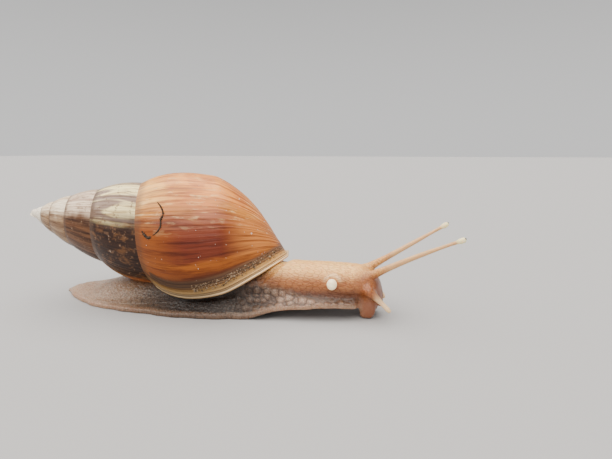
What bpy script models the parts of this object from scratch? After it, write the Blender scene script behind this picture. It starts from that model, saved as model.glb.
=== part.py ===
"""Giant African land snail (Lissachatina fulica), a still life-size model in its crawling pose.

The origin is on the flat sole under the middle of the foot, +X runs toward the head, +Y to the
animal's left and +Z up.  Every length below is in millimetres and becomes metres in add_body().
"""
import math

import bmesh
import bpy
import numpy as np

MM = 0.001
GAP = 0.3                      # clearance between neighbouring parts

# Shell: a right-handed spiral that grows from the apex to the lip.
SHELL_LENGTH = 81.7            # from the spiral's virtual apex to the base of a full whorl
WHORL_RATIO = 1.5735           # growth along the axis in one turn
WIDTH_POWER = 0.7212           # the whorls widen more slowly than they lengthen
TURNS = 6.0
NARROW_TURNS = 3.5             # the first turns are slimmer than that growth gives,
FIRST_NARROWING = 0.51         # by this share at the apex
ROWS_PER_TURN = 32
SHELL_APEX = (-42.7, -13.0, 25.95)
SHELL_HEADING = 18.55          # the spire points back and to the right of the body, degrees
SHELL_DIP = 9.0                # the axis falls toward the head, degrees
LIP_ROLL = -52.8               # angle of the lip round the axis, 0 is the right-hand side
SUTURE = 0.4637                # where a whorl begins, as a fraction of its length
WAIST = 0.7506                 # where it is widest
WIDEST = 0.2536                # its radius there
UPPER_BOW = 2.88               # how far the last whorl bulges between suture and waist
EARLY_BOW = 0.07               # the early whorls bulge by only this share of that
BOW_TURN = 1.23                # turns before the lip where whorls begin to bulge
BOW_RATE = 4.0
LOWER_BOW = (1.12, 2.577)
WAIST_SOFT = 0.08              # how gently the side turns in below the waist
BASE_END = 0.988               # the base is blunt
LIP_LEAN = -53.5               # the lip trails behind toward the base, degrees
LEAN_POWER = 1.374
SUTURE_DROP = 0.0159           # the suture descends a little behind the lip
DROP_ANGLE = 40.0
LIP_WALL = 0.07                # thickness of the lip as a fraction of the mouth
COLS_UPPER = 8
COLS_BASE = 10

# Foot
TAIL_X = -39.6
TAIL_JOIN_X = -21.0
FRONT_JOIN_X = 19.0
FOOT_FRONT_X = 51.0
FOOT_HALF_WIDTH = 13.6
RIM_THICKNESS = 1.4
ARCH_START_X = 22.0            # ahead of here the sole is lifted off the ground
ARCH_RISE = 4.7

# Neck and head
NECK_TOP = 14.0
NECK_HALF_WIDTH = 6.0
NECK_END_X = 47.5
HEAD_Y = 2.6
LAPPET_SPREAD = 2.9

# Feelers
FEELER_BASE = 1.35             # radii
FEELER_MIDDLE = 0.62
FEELER_TIP = 0.46
KNOB_RADIUS = 0.76


def material(name, colour, rough):
    """A plain Principled material."""
    made = bpy.data.materials.new(name)
    made.use_nodes = True
    shader = made.node_tree.nodes["Principled BSDF"]
    shader.inputs["Base Color"].default_value = (*colour, 1.0)
    shader.inputs["Roughness"].default_value = rough
    made.diffuse_color = (*colour, 1.0)
    return made


def clear_scene():
    """Start from an empty scene."""
    for thing in list(bpy.data.objects):
        bpy.data.objects.remove(thing, do_unlink=True)


def add_body(name, points, faces, look=None, cutters=()):
    """One closed, outward-facing solid; cutters are taken away from it."""
    mesh = bpy.data.meshes.new(name)
    work = bmesh.new()
    corners = [work.verts.new([float(c) * MM for c in p]) for p in points]
    for face in faces:
        work.faces.new([corners[i] for i in face])
    bmesh.ops.recalc_face_normals(work, faces=work.faces)
    if work.calc_volume(signed=True) < 0:
        bmesh.ops.reverse_faces(work, faces=work.faces)
    for face in work.faces:
        face.smooth = True
    work.to_mesh(mesh)
    work.free()
    body = bpy.data.objects.new(name, mesh)
    bpy.context.scene.collection.objects.link(body)
    if look is None:
        body.hide_render = True
        body.display_type = "WIRE"
    else:
        mesh.materials.append(material(name, *look))
    for number, cutter in enumerate(cutters):
        cut = body.modifiers.new(f"cut {number}", "BOOLEAN")
        cut.operation = "DIFFERENCE"
        cut.solver = "EXACT"
        cut.object = cutter
    return body


def swollen(body, amount):
    """A copy of a body pushed out along its normals, used to cut clearance in its neighbours."""
    mesh = body.data
    mesh.update()
    points = np.empty(len(mesh.vertices) * 3)
    mesh.vertices.foreach_get("co", points)
    normals = np.empty_like(points)
    mesh.vertices.foreach_get("normal", normals)
    moved = (points / MM + normals * amount).reshape(-1, 3)
    faces = [tuple(p.vertices) for p in mesh.polygons]
    return add_body(f"clearance of {body.name}", moved, faces)


def blend(x, xs, ys):
    """A smooth curve through a few named sizes."""
    xs = np.asarray(xs, float)
    ys = np.asarray(ys, float)
    slopes = np.gradient(ys, xs)
    i = np.clip(np.searchsorted(xs, x) - 1, 0, len(xs) - 2)
    h = xs[i + 1] - xs[i]
    t = np.clip((x - xs[i]) / h, 0, 1)
    a = (1 + 2 * t) * (1 - t) ** 2
    b = t * (1 - t) ** 2
    c = t * t * (3 - 2 * t)
    d = t * t * (t - 1)
    return a * ys[i] + b * h * slopes[i] + c * ys[i + 1] + d * h * slopes[i + 1]


def tube_faces(rings, size):
    """Quads between closed rings, with a fan to a middle point at each end."""
    faces = []
    for r in range(rings - 1):
        for k in range(size):
            n = (k + 1) % size
            faces.append((r * size + k, r * size + n, (r + 1) * size + n, (r + 1) * size + k))
    first = rings * size
    for k in range(size):
        n = (k + 1) % size
        faces.append((first, n, k))
        faces.append((first + 1, (rings - 1) * size + k, (rings - 1) * size + n))
    return faces


def lofted(name, rings, look, cutters=(), ends=None):
    """A solid skinned over closed rings of points."""
    rings = np.asarray(rings, float)
    if ends is None:
        ends = (rings[0].mean(0), rings[-1].mean(0))
    points = np.concatenate([rings.reshape(-1, 3), ends])
    return add_body(name, points, tube_faces(len(rings), rings.shape[1]), look, cutters)


# ---------------------------------------------------------------- shell

def growth(turn_angle):
    """Size of the spiral at a growth angle, 1 at the lip."""
    return WHORL_RATIO ** (turn_angle / (2 * math.pi))


def breadth(size):
    """How wide a whorl of this size is: a power of it, less toward the apex."""
    turns = -np.log(size) / math.log(WHORL_RATIO)
    early = np.clip((turns - (TURNS - NARROW_TURNS)) / NARROW_TURNS, 0, 1)
    return size ** WIDTH_POWER * (1 - FIRST_NARROWING * early ** 2)


def bulge(angle):
    """How far a whorl bulges above its waist: nearly flat in the spire, full at the lip."""
    turns = -angle / (2 * math.pi)
    late = 1 / (1 + np.exp((turns - BOW_TURN) * BOW_RATE))
    return 1 + (UPPER_BOW - 1) * (EARLY_BOW + (1 - EARLY_BOW) * late)


def base_radius(z):
    """Radius of a whorl below its widest point, by axial fraction."""
    fall = np.clip((z - WAIST) / (1 - WAIST), 0, 1)
    fall = (np.hypot(fall, WAIST_SOFT) - WAIST_SOFT) / (math.hypot(1, WAIST_SOFT) - WAIST_SOFT)
    return WIDEST * (1 - fall ** LOWER_BOW[0]) ** (1 / LOWER_BOW[1])


def suture_point(angle):
    """Axial position and radius of the seam between two whorls."""
    size = growth(angle)
    z = SUTURE * size + SUTURE_DROP * np.exp(-np.abs(angle) / math.radians(DROP_ANGLE))
    before = size / WHORL_RATIO
    r = base_radius(np.maximum(z / before, WAIST)) * breadth(before)
    ledge = np.clip((WAIST - z / before) / (WAIST - SUTURE), 0, 1)
    start = WIDEST / WHORL_RATIO ** WIDTH_POWER
    upper = (WIDEST - (WIDEST - start) * ledge ** UPPER_BOW) * breadth(before)
    return z, np.where(z / before >= WAIST, r, upper)


def whorl_radius(angle, z):
    """Outer radius of the whorl grown at an angle, at an axial position."""
    size = growth(angle)
    top_z, top_r = suture_point(angle)
    wide_z = WAIST * size
    wide_r = WIDEST * breadth(size)
    climb = np.clip((wide_z - z) / (wide_z - top_z), 0, 1)
    upper = wide_r - (wide_r - top_r) * climb ** bulge(angle)
    lower = base_radius(z / size) * breadth(size)
    return np.where(z < wide_z, upper, lower)


def shell_frame():
    """Unit vectors along the axis, to the right-hand side and upward across the axis."""
    heading = math.radians(SHELL_HEADING)
    dip = math.radians(SHELL_DIP)
    along = np.array([math.cos(heading) * math.cos(dip), math.sin(heading) * math.cos(dip),
                      -math.sin(dip)])
    side = np.array([math.sin(heading), -math.cos(heading), 0.0])
    return along, side, np.cross(side, along)


def place_on_shell(angle, z, r):
    """From growth angle, axial position and radius to the row frame."""
    along, side, up = shell_frame()
    turn = np.radians(LIP_ROLL) - angle
    z = np.asarray(z)[..., None]
    r = np.asarray(r)[..., None]
    out = side * np.cos(turn)[..., None] + up * np.sin(turn)[..., None]
    return np.array(SHELL_APEX) + SHELL_LENGTH * (z * along + r * out)


def shell_row(angle, full):
    """One growth line from the suture down; a full one ends on the axis at the base."""
    if full:
        split = suture_point(0.0)[0] * WHORL_RATIO
        tz = suture_point(angle)[0] / growth(angle)
        upper = tz + (split - tz) * np.sin(np.linspace(0, 0.5, COLS_UPPER) * math.pi)
        base = split + (BASE_END - split) * np.sin(np.linspace(0, 0.5, COLS_BASE)[1:] * math.pi)
        rel = np.concatenate([upper, base])
        lean = math.radians(LIP_LEAN) * np.clip(1 + angle / math.pi, 0, 1) ** 2
        turned = angle + lean * np.clip((rel - SUTURE) / (1 - SUTURE), 0, 1) ** LEAN_POWER
        size = growth(turned)
        z = rel * size
        z[0] = suture_point(angle)[0]
        turned[0] = angle
        r = whorl_radius(turned, z)
        r[-1] = 0.0
        return place_on_shell(turned, z, r)
    first = suture_point(angle)[0]
    last = suture_point(angle + 2 * math.pi)[0]
    share = np.sin(np.linspace(0, 0.5, COLS_UPPER) * math.pi)
    z = first + (last - first) * share
    turned = np.full(COLS_UPPER, angle)
    return place_on_shell(turned, z, whorl_radius(turned, z))


def mouth_loop(back, shrink):
    """The outline of the shell's mouth, drawn in toward its middle and back into the tube."""
    lip = shell_row(-back, True)
    wall = shell_row(-back - 2 * math.pi, True)[COLS_UPPER - 1:]
    steps = np.linspace(0, 1, ROWS_PER_TURN + 1)[1:-1, None]
    column = lip[-1] + (wall[-1] - lip[-1]) * steps
    loop = np.concatenate([lip, column, wall[::-1][:-1]])
    middle = 0.5 * (lip[COLS_UPPER + 1] + wall[2])
    return middle + (loop - middle) * shrink


def shell():
    """The whole shell in one piece, with a shallow mouth."""
    per = ROWS_PER_TURN
    count = int(TURNS * per) + 1
    angles = -2 * math.pi * TURNS + np.arange(count) * 2 * math.pi / per
    points = []
    index = {}

    def put(key, point):
        index[key] = len(points)
        points.append(point)

    last_turn = count - 1 - per
    for r, angle in enumerate(angles):
        full = r >= last_turn
        row = shell_row(angle, full)
        for c, point in enumerate(row):
            if c == COLS_UPPER - 1 and r <= last_turn:
                continue
            put((r, c), point)
    for r in range(last_turn + 1):
        index[(r, COLS_UPPER - 1)] = index[(r + per, 0)]
    faces = []
    for r in range(count - 1):
        width = COLS_UPPER + COLS_BASE - 1 if r >= last_turn else COLS_UPPER
        for c in range(width - 1):
            faces.append((index[r, c], index[r + 1, c], index[r + 1, c + 1], index[r, c + 1]))
    faces += apex_cap(points, index, per, angles)
    faces += mouth_faces(points, index, count, last_turn)
    return add_body("shell", points, faces, ((0.5, 0.22, 0.07), 0.3))


def apex_cap(points, index, per, angles):
    """The rounded first whorl."""
    ring = [index[r, 0] for r in range(per + 1)]
    ring += [index[0, c] for c in range(COLS_UPPER - 2, 0, -1)]
    along = shell_frame()[0]
    edge = np.array([points[i] for i in ring])
    middle = edge.mean(0)
    faces = []
    previous = ring
    for shrink, lift in ((0.72, 0.55), (0.38, 0.9)):
        start = len(points)
        for p in edge:
            points.append(middle + (p - middle) * shrink - along * lift)
        now = list(range(start, start + len(ring)))
        for k in range(len(ring)):
            n = (k + 1) % len(ring)
            faces.append((previous[n], previous[k], now[k], now[n]))
        previous = now
    tip = len(points)
    points.append(middle - along * 1.0)
    for k in range(len(ring)):
        faces.append((previous[(k + 1) % len(ring)], previous[k], tip))
    return faces


def mouth_faces(points, index, count, last_turn):
    """The thickness of the lip and the recess behind it."""
    width = COLS_UPPER + COLS_BASE - 1
    loop = [index[count - 1, c] for c in range(width)]
    loop += [index[r, width - 1] for r in range(count - 2, last_turn, -1)]
    loop += [index[last_turn, c] for c in range(width - 1, COLS_UPPER - 1, -1)]
    faces = []
    previous = loop
    for back, shrink in MOUTH_STEPS:
        start = len(points)
        points.extend(mouth_loop(math.radians(back), shrink))
        now = list(range(start, start + len(loop)))
        for k in range(len(loop)):
            n = (k + 1) % len(loop)
            faces.append((previous[n], previous[k], now[k], now[n]))
        previous = now
    middle = len(points)
    points.append(np.mean([points[i] for i in previous], axis=0))
    for k in range(len(loop)):
        faces.append((previous[(k + 1) % len(loop)], previous[k], middle))
    return faces


MOUTH_STEPS = ((0.0, 1 - LIP_WALL), (9.0, 1 - 1.4 * LIP_WALL), (16.0, 0.8), (18.0, 0.45))


def mantle_collar(cutters):
    """The fleshy collar that fills the mouth of the shell and bulges a little out of it."""
    outline = mouth_loop(0.0, 1.0)
    onward = np.cross(outline, np.roll(outline, -1, axis=0)).sum(0)
    onward = onward / np.linalg.norm(onward)
    growing = mouth_loop(math.radians(-5), 1.0).mean(0) - outline.mean(0)
    onward = onward * np.sign(onward @ growing)
    rings = []
    for back, shrink, bulge in ((9.0, 0.70, 0.6), (5.0, 0.79, 0.9), (0.0, 0.80, 1.5), (0.0, 0.62, 2.1)):
        rings.append(mouth_loop(math.radians(back), shrink) + bulge * onward)
    ends = (rings[0].mean(0), rings[-1].mean(0) + 0.3 * onward)
    return lofted("mantle_collar", rings, ((0.62, 0.5, 0.36), 0.4), cutters, ends)


# ---------------------------------------------------------------- foot

def foot_half_width(x):
    """Half the width of the sole."""
    share = blend(x, (TAIL_X, -37.5, -34, -29, -24, -18.7, -11, -2, 5, 12, 23.4, 30, 38, 45, 49, 51),
                  (0.06, 0.16, 0.37, 0.61, 0.77, 0.89, 0.955, 0.99, 1.0, 0.93, 0.745, 0.68, 0.62,
                   0.57, 0.5, 0.42))
    return FOOT_HALF_WIDTH * share


def foot_middle_y(x):
    """The foot bends a little: tail to the right, head to the left."""
    return blend(x, (TAIL_X, -29, -18.7, -2, 12, 23.4, 38, 51), (-2.7, -2.2, -1.9, -1.2, -1.0,
                                                                 -0.6, 0.9, 2.5))


def sole_height(x):
    """Flat on the ground, arched ahead of the middle."""
    return ARCH_RISE * blend(x, (ARCH_START_X, 25, 27.5, 31, 38, 45, 51),
                             (0.0, 0.1, 0.3, 0.5, 0.66, 0.75, 0.68))


def foot_ring(x, seat, crown, shoulder, arch):
    """A section of the foot above its flat sole.

    From the rounded rim the skin climbs to the seat over the shoulder, then arches to the crown.
    """
    half = foot_half_width(x)
    rim = RIM_THICKNESS * min(1.0, half / 3.0)
    top = np.cos(np.linspace(0.1, 0.9, 17) * math.pi) / math.cos(0.1 * math.pi) * 0.95
    across = np.concatenate([np.linspace(-0.985, 0.985, 5), [1.0, 0.98], top, [-0.98, -1.0]])
    climb = np.clip((1 - np.abs(top)) / shoulder, 0, 1)
    climb = climb * climb * (3 - 2 * climb)
    hump = np.sqrt(np.clip(1 - (top / arch) ** 2, 0, 1))
    z = np.zeros(len(across))
    z[5] = z[-1] = 0.35 * rim
    z[6] = z[-2] = rim
    z[7:-2] = rim + max(seat - rim, 0.05) * climb + max(crown - seat, 0.0) * hump
    y = foot_middle_y(x) + half * across
    return np.stack([np.full(len(y), x), y, z + sole_height(x)], -1)


def crown_height(x):
    """Height of the top of the foot above the sole at the middle."""
    return blend(x, (TAIL_X, -37.5, -34, -30, -26, -22, -15, -5, 5, 12, FRONT_JOIN_X),
                 (0.7, 1.5, 2.8, 3.4, 4.2, 5.4, 7.0, 8.5, 10.0, 11.2, 12.4))


def seat_height(x):
    """Height of the shoulder of the foot, where the neck sits on it in front."""
    return blend(x, (TAIL_X, -34, -26, -15, 0, FRONT_JOIN_X, 23.4, 35, FOOT_FRONT_X),
                 (0.4, 1.5, 2.4, 3.2, 4.0, 4.5, 4.8, 5.3, 5.3))


def foot_section(x):
    """The foot with its hump, back from the neck."""
    arch = blend(x, (TAIL_X, -22, 0, FRONT_JOIN_X), (0.95, 0.9, 0.78, 0.68))
    shoulder = blend(x, (TAIL_X, -22, 0, FRONT_JOIN_X), (0.9, 0.7, 0.4, 0.3))
    return foot_ring(x, seat_height(x), crown_height(x), shoulder, arch)


def tail(cutters):
    """The thin leaf-shaped back end of the foot."""
    rings = [foot_section(x) for x in np.linspace(TAIL_X, TAIL_JOIN_X - GAP, 11)]
    return lofted("tail", rings, ((0.5, 0.46, 0.4), 0.5), cutters)


def foot_middle(cutters):
    """The broad part under the shell, which rises into its mouth."""
    rings = [foot_section(x) for x in np.linspace(TAIL_JOIN_X, FRONT_JOIN_X - GAP, 19)]
    return lofted("foot_middle", rings, ((0.45, 0.4, 0.34), 0.5), cutters)


def foot_front(cutters):
    """The front of the foot, lifted clear of the ground under the neck."""
    rings = []
    for x in np.linspace(FRONT_JOIN_X, FOOT_FRONT_X, 15):
        seat = seat_height(x) - sole_height(x)
        rings.append(foot_ring(x, seat, seat, 0.3, 0.7))
    return lofted("foot_front", rings, ((0.62, 0.5, 0.4), 0.5), cutters)


# ---------------------------------------------------------------- neck and head

def body_ring(x, middle, half, top, bottom, slant=0.0):
    """A rounded section, flatter below than above; slant leans it forward at the top."""
    a = np.linspace(0, 2 * math.pi, 21)[:-1]
    waist = bottom + 0.42 * (top - bottom)
    y = middle + half * np.sign(np.cos(a)) * np.abs(np.cos(a)) ** 0.85
    up = waist + (top - waist) * np.abs(np.sin(a)) ** 0.95
    down = waist - (waist - bottom) * np.abs(np.sin(a)) ** 0.55
    z = np.where(np.sin(a) >= 0, up, down)
    return np.stack([x + slant * (z - waist), y, z], -1)


def neck(cutters):
    """The stretched neck, from inside the mouth of the shell to the head."""
    rings = []
    for x in np.linspace(FRONT_JOIN_X, NECK_END_X, 13):
        half = NECK_HALF_WIDTH * blend(x, (FRONT_JOIN_X, 27, 36, 44, NECK_END_X),
                                       (1.3, 1.12, 1.0, 0.97, 0.96))
        top = NECK_TOP + blend(x, (FRONT_JOIN_X, 30, 36, NECK_END_X), (0.0, 0.3, 0.1, -0.1))
        rings.append(body_ring(x, foot_middle_y(x) + 0.1, half, top, seat_height(x) + GAP))
    return lofted("neck", rings, ((0.72, 0.52, 0.34), 0.4), cutters)


def head():
    """The head, rounded over the mouth."""
    xs = (NECK_END_X + GAP, 49.5, 51.5, 53.3, 54.8, 55.8, 56.4)
    tops = (13.8, 13.7, 13.3, 12.4, 11.0, 9.4, 8.0)
    halves = (5.75, 5.6, 5.3, 4.8, 4.1, 3.2, 2.1)
    rings = []
    for x, top, half in zip(xs, tops, halves):
        rings.append(body_ring(x, foot_middle_y(min(x, 51)) + 0.1, half, top, 5.6))
    return lofted("head", rings, ((0.68, 0.45, 0.27), 0.4))


def rounded_block(name, centre, size, look, power=0.7, cutters=()):
    """A soft-edged block: a superellipsoid with a flat top and bottom."""
    rings = []
    for v in np.linspace(-1, 1, 7):
        swell = (1 - abs(v) ** 3.0 * 0.45)
        a = np.linspace(0, 2 * math.pi, 15)[:-1]
        x = centre[0] + size[0] * swell * np.sign(np.cos(a)) * np.abs(np.cos(a)) ** power
        y = centre[1] + size[1] * swell * np.sign(np.sin(a)) * np.abs(np.sin(a)) ** power
        rings.append(np.stack([x, y, np.full(14, centre[2] + size[2] * v)], -1))
    return lofted(name, rings, look, cutters)


def mouth_parts():
    """The two lobes that touch the ground, the fold between them and the upper lip."""
    flesh = ((0.66, 0.42, 0.28), 0.4)
    made = [
        rounded_block("oral_lappet_right", (53.4, HEAD_Y - LAPPET_SPREAD + 0.3, 2.65),
                      (2.05, 1.5, 2.65), flesh),
        rounded_block("oral_lappet_left", (53.4, HEAD_Y + LAPPET_SPREAD - 0.3, 2.65),
                      (2.05, 1.5, 2.65), flesh),
        rounded_block("mouth", (53.2, HEAD_Y, 3.6), (1.5, 0.75, 1.7), flesh),
        rounded_block("upper_lip", (56.25, HEAD_Y, 4.05), (0.5, 2.9, 1.25), flesh),
    ]
    return made


# ---------------------------------------------------------------- feelers

def feeler_length(name, path, radii, look, cutters=()):
    """One length of a feeler: a tapering round body along a bent path."""
    rings = []
    for k, (point, radius) in enumerate(zip(path, radii)):
        ahead = path[min(k + 1, len(path) - 1)] - path[max(k - 1, 0)]
        ahead = ahead / np.linalg.norm(ahead)
        side = np.cross(ahead, (0.0, 0.0, 1.0))
        side = side / np.linalg.norm(side)
        up = np.cross(side, ahead)
        a = np.linspace(0, 2 * math.pi, 11)[:-1, None]
        rings.append(point + radius * (np.cos(a) * side + np.sin(a) * up))
    return lofted(name, rings, look, cutters)


def bent_path(start, end, lift, steps):
    """Points from start to end, bowed upward in the middle."""
    t = np.linspace(0, 1, steps)[:, None]
    path = np.asarray(start) + (np.asarray(end) - np.asarray(start)) * t
    path = path + np.array([0.0, 0.0, lift]) * 4 * t * (1 - t)
    return path


def feeler(side, start, end, lift, cutters):
    """An upper feeler: a wide root, a long thin shaft and the knob that carries the eye."""
    look = ((0.75, 0.62, 0.42), 0.35)
    start = np.asarray(start, float)
    end = np.asarray(end, float)
    length = np.linalg.norm(end - start)
    whole = bent_path(start, end, lift, 41)
    t = np.linspace(0, 1, 41)

    def radius(u):
        return blend(u, (0, 0.12, 0.3, 0.6, 1.0),
                     (FEELER_BASE, 1.0, 0.78, FEELER_MIDDLE, FEELER_TIP))

    def span(a, b, count):
        u = np.linspace(a, b, count)
        points = np.stack([np.interp(u, t, whole[:, k]) for k in range(3)], -1)
        return points, [radius(v) for v in u]

    cut = GAP / length
    points, radii = span(0.0, 0.28, 7)
    feeler_length(f"feeler_root_{side}", points, radii, look, cutters)
    points, radii = span(0.28 + cut, 0.62, 6)
    feeler_length(f"feeler_shaft_{side}", points, radii, look)
    points, radii = span(0.62 + cut, 0.94, 6)
    feeler_length(f"feeler_tip_{side}", points, radii, look)
    ahead = (whole[-1] - whole[-3]) / np.linalg.norm(whole[-1] - whole[-3])
    knob_from = whole[-1] - ahead * (0.06 * length - GAP)
    u = np.linspace(0.0, 1.0, 8)
    reach = 0.06 * length - GAP + KNOB_RADIUS
    points = knob_from + ahead * (u * reach)[:, None]
    radii = [KNOB_RADIUS * blend(v, (0, 0.3, 0.62, 0.85, 0.96, 1.0),
                                 (0.62, 0.85, 1.0, 0.8, 0.45, 0.15)) for v in u]
    feeler_length(f"eye_knob_{side}", points, radii, ((0.8, 0.7, 0.45), 0.3))


def lower_feeler(side, start, end, cutters):
    """A short lower feeler, wide at the root, with a small rounded tip."""
    path = bent_path(start, end, 0.15, 9)
    radii = [blend(v, (0, 0.35, 0.7, 0.88, 0.97, 1.0), (1.3, 0.9, 0.6, 0.66, 0.48, 0.16))
             for v in np.linspace(0, 1, 9)]
    feeler_length(f"lower_feeler_{side}", path, radii, ((0.75, 0.68, 0.58), 0.35), cutters)


def knob_on_neck(cutters):
    """The small white knob on the right side of the neck."""
    centre = np.array([44.7, -4.4, 9.5])
    rings = []
    for v in np.linspace(-0.94, 0.94, 9):
        a = np.linspace(0, 2 * math.pi, 15)[:-1]
        r = 1.35 * math.sqrt(1 - v * v)
        rings.append(np.stack([centre[0] + r * np.cos(a), centre[1] + r * np.sin(a),
                               np.full(14, centre[2] + 1.5 * v)], -1))
    return lofted("genital_knob", rings, ((0.95, 0.9, 0.78), 0.3), cutters)


# ---------------------------------------------------------------- whole animal

def build():
    """Put the whole animal together."""
    clear_scene()
    house = shell()
    house_room = swollen(house, GAP)
    collar = mantle_collar((house_room,))
    collar_room = swollen(collar, GAP)
    tail((house_room,))
    foot_middle((house_room, collar_room))
    foot_front((house_room, collar_room))
    throat = neck((house_room, collar_room))
    skull = head()
    lobes = mouth_parts()
    skull_room = swollen(skull, GAP)
    lobe_rooms = tuple(swollen(lobe, GAP) for lobe in lobes)
    feeler("right", (54.0, HEAD_Y - 2.2, 11.3), (75.6, -3.6, 22.5), 0.4, (skull_room,))
    feeler("left", (52.4, HEAD_Y + 2.4, 12.2), (71.7, 8.0, 24.2), 0.0, (skull_room,))
    low_rooms = (skull_room,) + lobe_rooms
    lower_feeler("right", (53.9, HEAD_Y - 5.0, 7.8), (59.35, HEAD_Y - 5.7, 3.25), low_rooms)
    lower_feeler("left", (53.5, HEAD_Y + 5.0, 7.8), (56.4, HEAD_Y + 5.7, 3.25), low_rooms)
    knob_on_neck((swollen(throat, GAP),))


build()
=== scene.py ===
"""Giant African land snail crawling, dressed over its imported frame."""
import math

import bmesh
import bpy
import numpy as np
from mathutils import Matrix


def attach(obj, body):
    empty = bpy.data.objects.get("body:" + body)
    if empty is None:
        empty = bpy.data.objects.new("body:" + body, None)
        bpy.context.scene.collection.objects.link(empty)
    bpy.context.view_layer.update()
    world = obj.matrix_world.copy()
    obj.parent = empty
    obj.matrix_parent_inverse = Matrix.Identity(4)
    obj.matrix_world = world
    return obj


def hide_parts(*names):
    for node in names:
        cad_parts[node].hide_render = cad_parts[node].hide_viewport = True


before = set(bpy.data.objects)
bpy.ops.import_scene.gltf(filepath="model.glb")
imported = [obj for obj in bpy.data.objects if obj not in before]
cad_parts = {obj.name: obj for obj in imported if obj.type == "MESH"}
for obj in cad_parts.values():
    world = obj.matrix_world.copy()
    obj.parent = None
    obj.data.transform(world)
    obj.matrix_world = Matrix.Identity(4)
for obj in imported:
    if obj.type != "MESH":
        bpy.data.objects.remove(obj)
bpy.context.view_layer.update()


# ------------------------------------------------------------------ the shell
# A right-handed coil of lime laid down at the lip, glossy with its skin of conchiolin, from a cream
# first whorl through flamed whorls to the chestnut and amber body whorl.  It is grown here in one
# surface: a coil that widens by a fixed ratio each turn, closed inside its mouth by a short wall.

SHELL_LENGTH = 81.6  # mm along the axis, from the apex to the base of the last whorl
SHELL_APEX = np.array([-42.6, -13.0, 25.9])
SHELL_HEADING, SHELL_DIP = 18.55, 9.0  # degrees that the axis turns to the left and tips down
LIP_ROLL = -52.8  # degrees round the axis, from its right side, of the lip
TURNS = 6.0
FULL_TURN = 2 * math.pi
WHORL_RATIO = 1.5735  # size of a whorl over that of the one a turn before it
WIDTH_POWER = 0.7212  # its breadth goes with this power of its size
NARROW_TURNS, FIRST_NARROWING = 3.5, 0.51  # how many first turns are narrower yet, and how much
SUTURE, WAIST, BASE_END = 0.4637, 0.7506, 0.988  # seam, widest place and base, by axial fraction
WIDEST = 0.2532  # radius at the waist over the shell's length
UPPER_BOW, EARLY_BOW = 2.88, 0.30  # power of the bow at the lip, and the spire's share of it
BOW_TURN, BOW_RATE = 1.23, 4.0  # how many turns before the lip it fills out, and how fast
LOWER_BOW = (1.12, 2.577)  # powers of the curve from waist to base
WAIST_SOFT = 0.08
LIP_LEAN, LEAN_POWER = -53.5, 1.374  # degrees by which the lip leans back at its base
SUTURE_DROP, DROP_SPAN = 0.0159, math.radians(40)  # fall of the seam in the last part of a turn
ROWS_PER_TURN = 560
UPPER_COLUMNS, BASE_COLUMNS = 15, 34
# Ripples of three widths: seed, number of waves, and their lowest and highest frequency by angle.
FINE_LINES, MIDDLE_LINES, BROAD_LINES = (3, 14, 180, 420), (5, 9, 60, 150), (7, 5, 5, 16)
# The lip's bead, groove, low ridge and second groove: height, distance from the edge, half width.
LIP_WAVES = ((0.30, 0.45, 0.42), (-0.16, 1.35, 0.28), (0.14, 2.0, 0.3), (-0.1, 2.75, 0.3))
# The wall inside the mouth: degrees back up the tube, and size over that of the mouth's edge.
MOUTH_WALL = ((0.0, 1.0), (0.0, 0.985), (0.2, 0.97), (1.0, 0.955), (4.0, 0.945), (9.0, 0.93),
              (14.0, 0.88), (17.0, 0.75), (18.0, 0.5), (18.5, 0.25))
INSIDE_AGE = TURNS + 0.3  # what the wall's growth measure starts at
APEX_DOME, DOME_RINGS = 1.25, 9  # mm by which the apex is rounded, and in how many rings
FAR_FROM_LIP = 99.0


def whorl_size(angle):
    """Size of the coil at a growth angle: the ratio to the power of the turns, 1 at the lip."""
    return WHORL_RATIO ** (angle / FULL_TURN)


def breadth(size):
    """How wide a whorl of this size is: a power of it, less over the first turns."""
    turns = -np.log(size) / math.log(WHORL_RATIO)
    early = np.clip((turns - (TURNS - NARROW_TURNS)) / NARROW_TURNS, 0, 1)
    return size ** WIDTH_POWER * (1 - FIRST_NARROWING * early ** 2)


def bulge(angle):
    """Power of the bow above the waist: an S-curve of the turns, low in the spire, full at the lip."""
    late = 1 / (1 + np.exp((-angle / FULL_TURN - BOW_TURN) * BOW_RATE))
    return 1 + (UPPER_BOW - 1) * (EARLY_BOW + (1 - EARLY_BOW) * late)


def side_radius(z):
    """Radius of a whorl from its waist to its base: a rounded quarter curve, by axial fraction."""
    fall = np.clip((z - WAIST) / (1 - WAIST), 0, 1)
    fall = (np.hypot(fall, WAIST_SOFT) - WAIST_SOFT) / (math.hypot(1, WAIST_SOFT) - WAIST_SOFT)
    return WIDEST * (1 - fall ** LOWER_BOW[0]) ** (1 / LOWER_BOW[1])


def seam_point(angle):
    """Axial place and radius of the seam: where this whorl is laid on the side of the one before."""
    size = whorl_size(angle)
    z = SUTURE * size + SUTURE_DROP * np.exp(-np.abs(angle) / DROP_SPAN)
    before = size / WHORL_RATIO
    lower = side_radius(np.maximum(z / before, WAIST)) * breadth(before)
    ledge = np.clip((WAIST - z / before) / (WAIST - SUTURE), 0, 1)
    start = WIDEST / WHORL_RATIO ** WIDTH_POWER
    upper = (WIDEST - (WIDEST - start) * ledge ** UPPER_BOW) * breadth(before)
    return z, np.where(z / before >= WAIST, lower, upper)


def whorl_radius(angle, z):
    """Radius of the whorl grown at an angle: a bow from the seam to the waist, then the side."""
    size = whorl_size(angle)
    top_z, top_r = seam_point(angle)
    wide_z = WAIST * size
    wide_r = WIDEST * breadth(size)
    climb = np.clip((wide_z - z) / (wide_z - top_z), 0, 1)
    upper = wide_r - (wide_r - top_r) * climb ** bulge(angle)
    lower = side_radius(z / size) * breadth(size)
    return np.where(z < wide_z, upper, lower)


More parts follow.
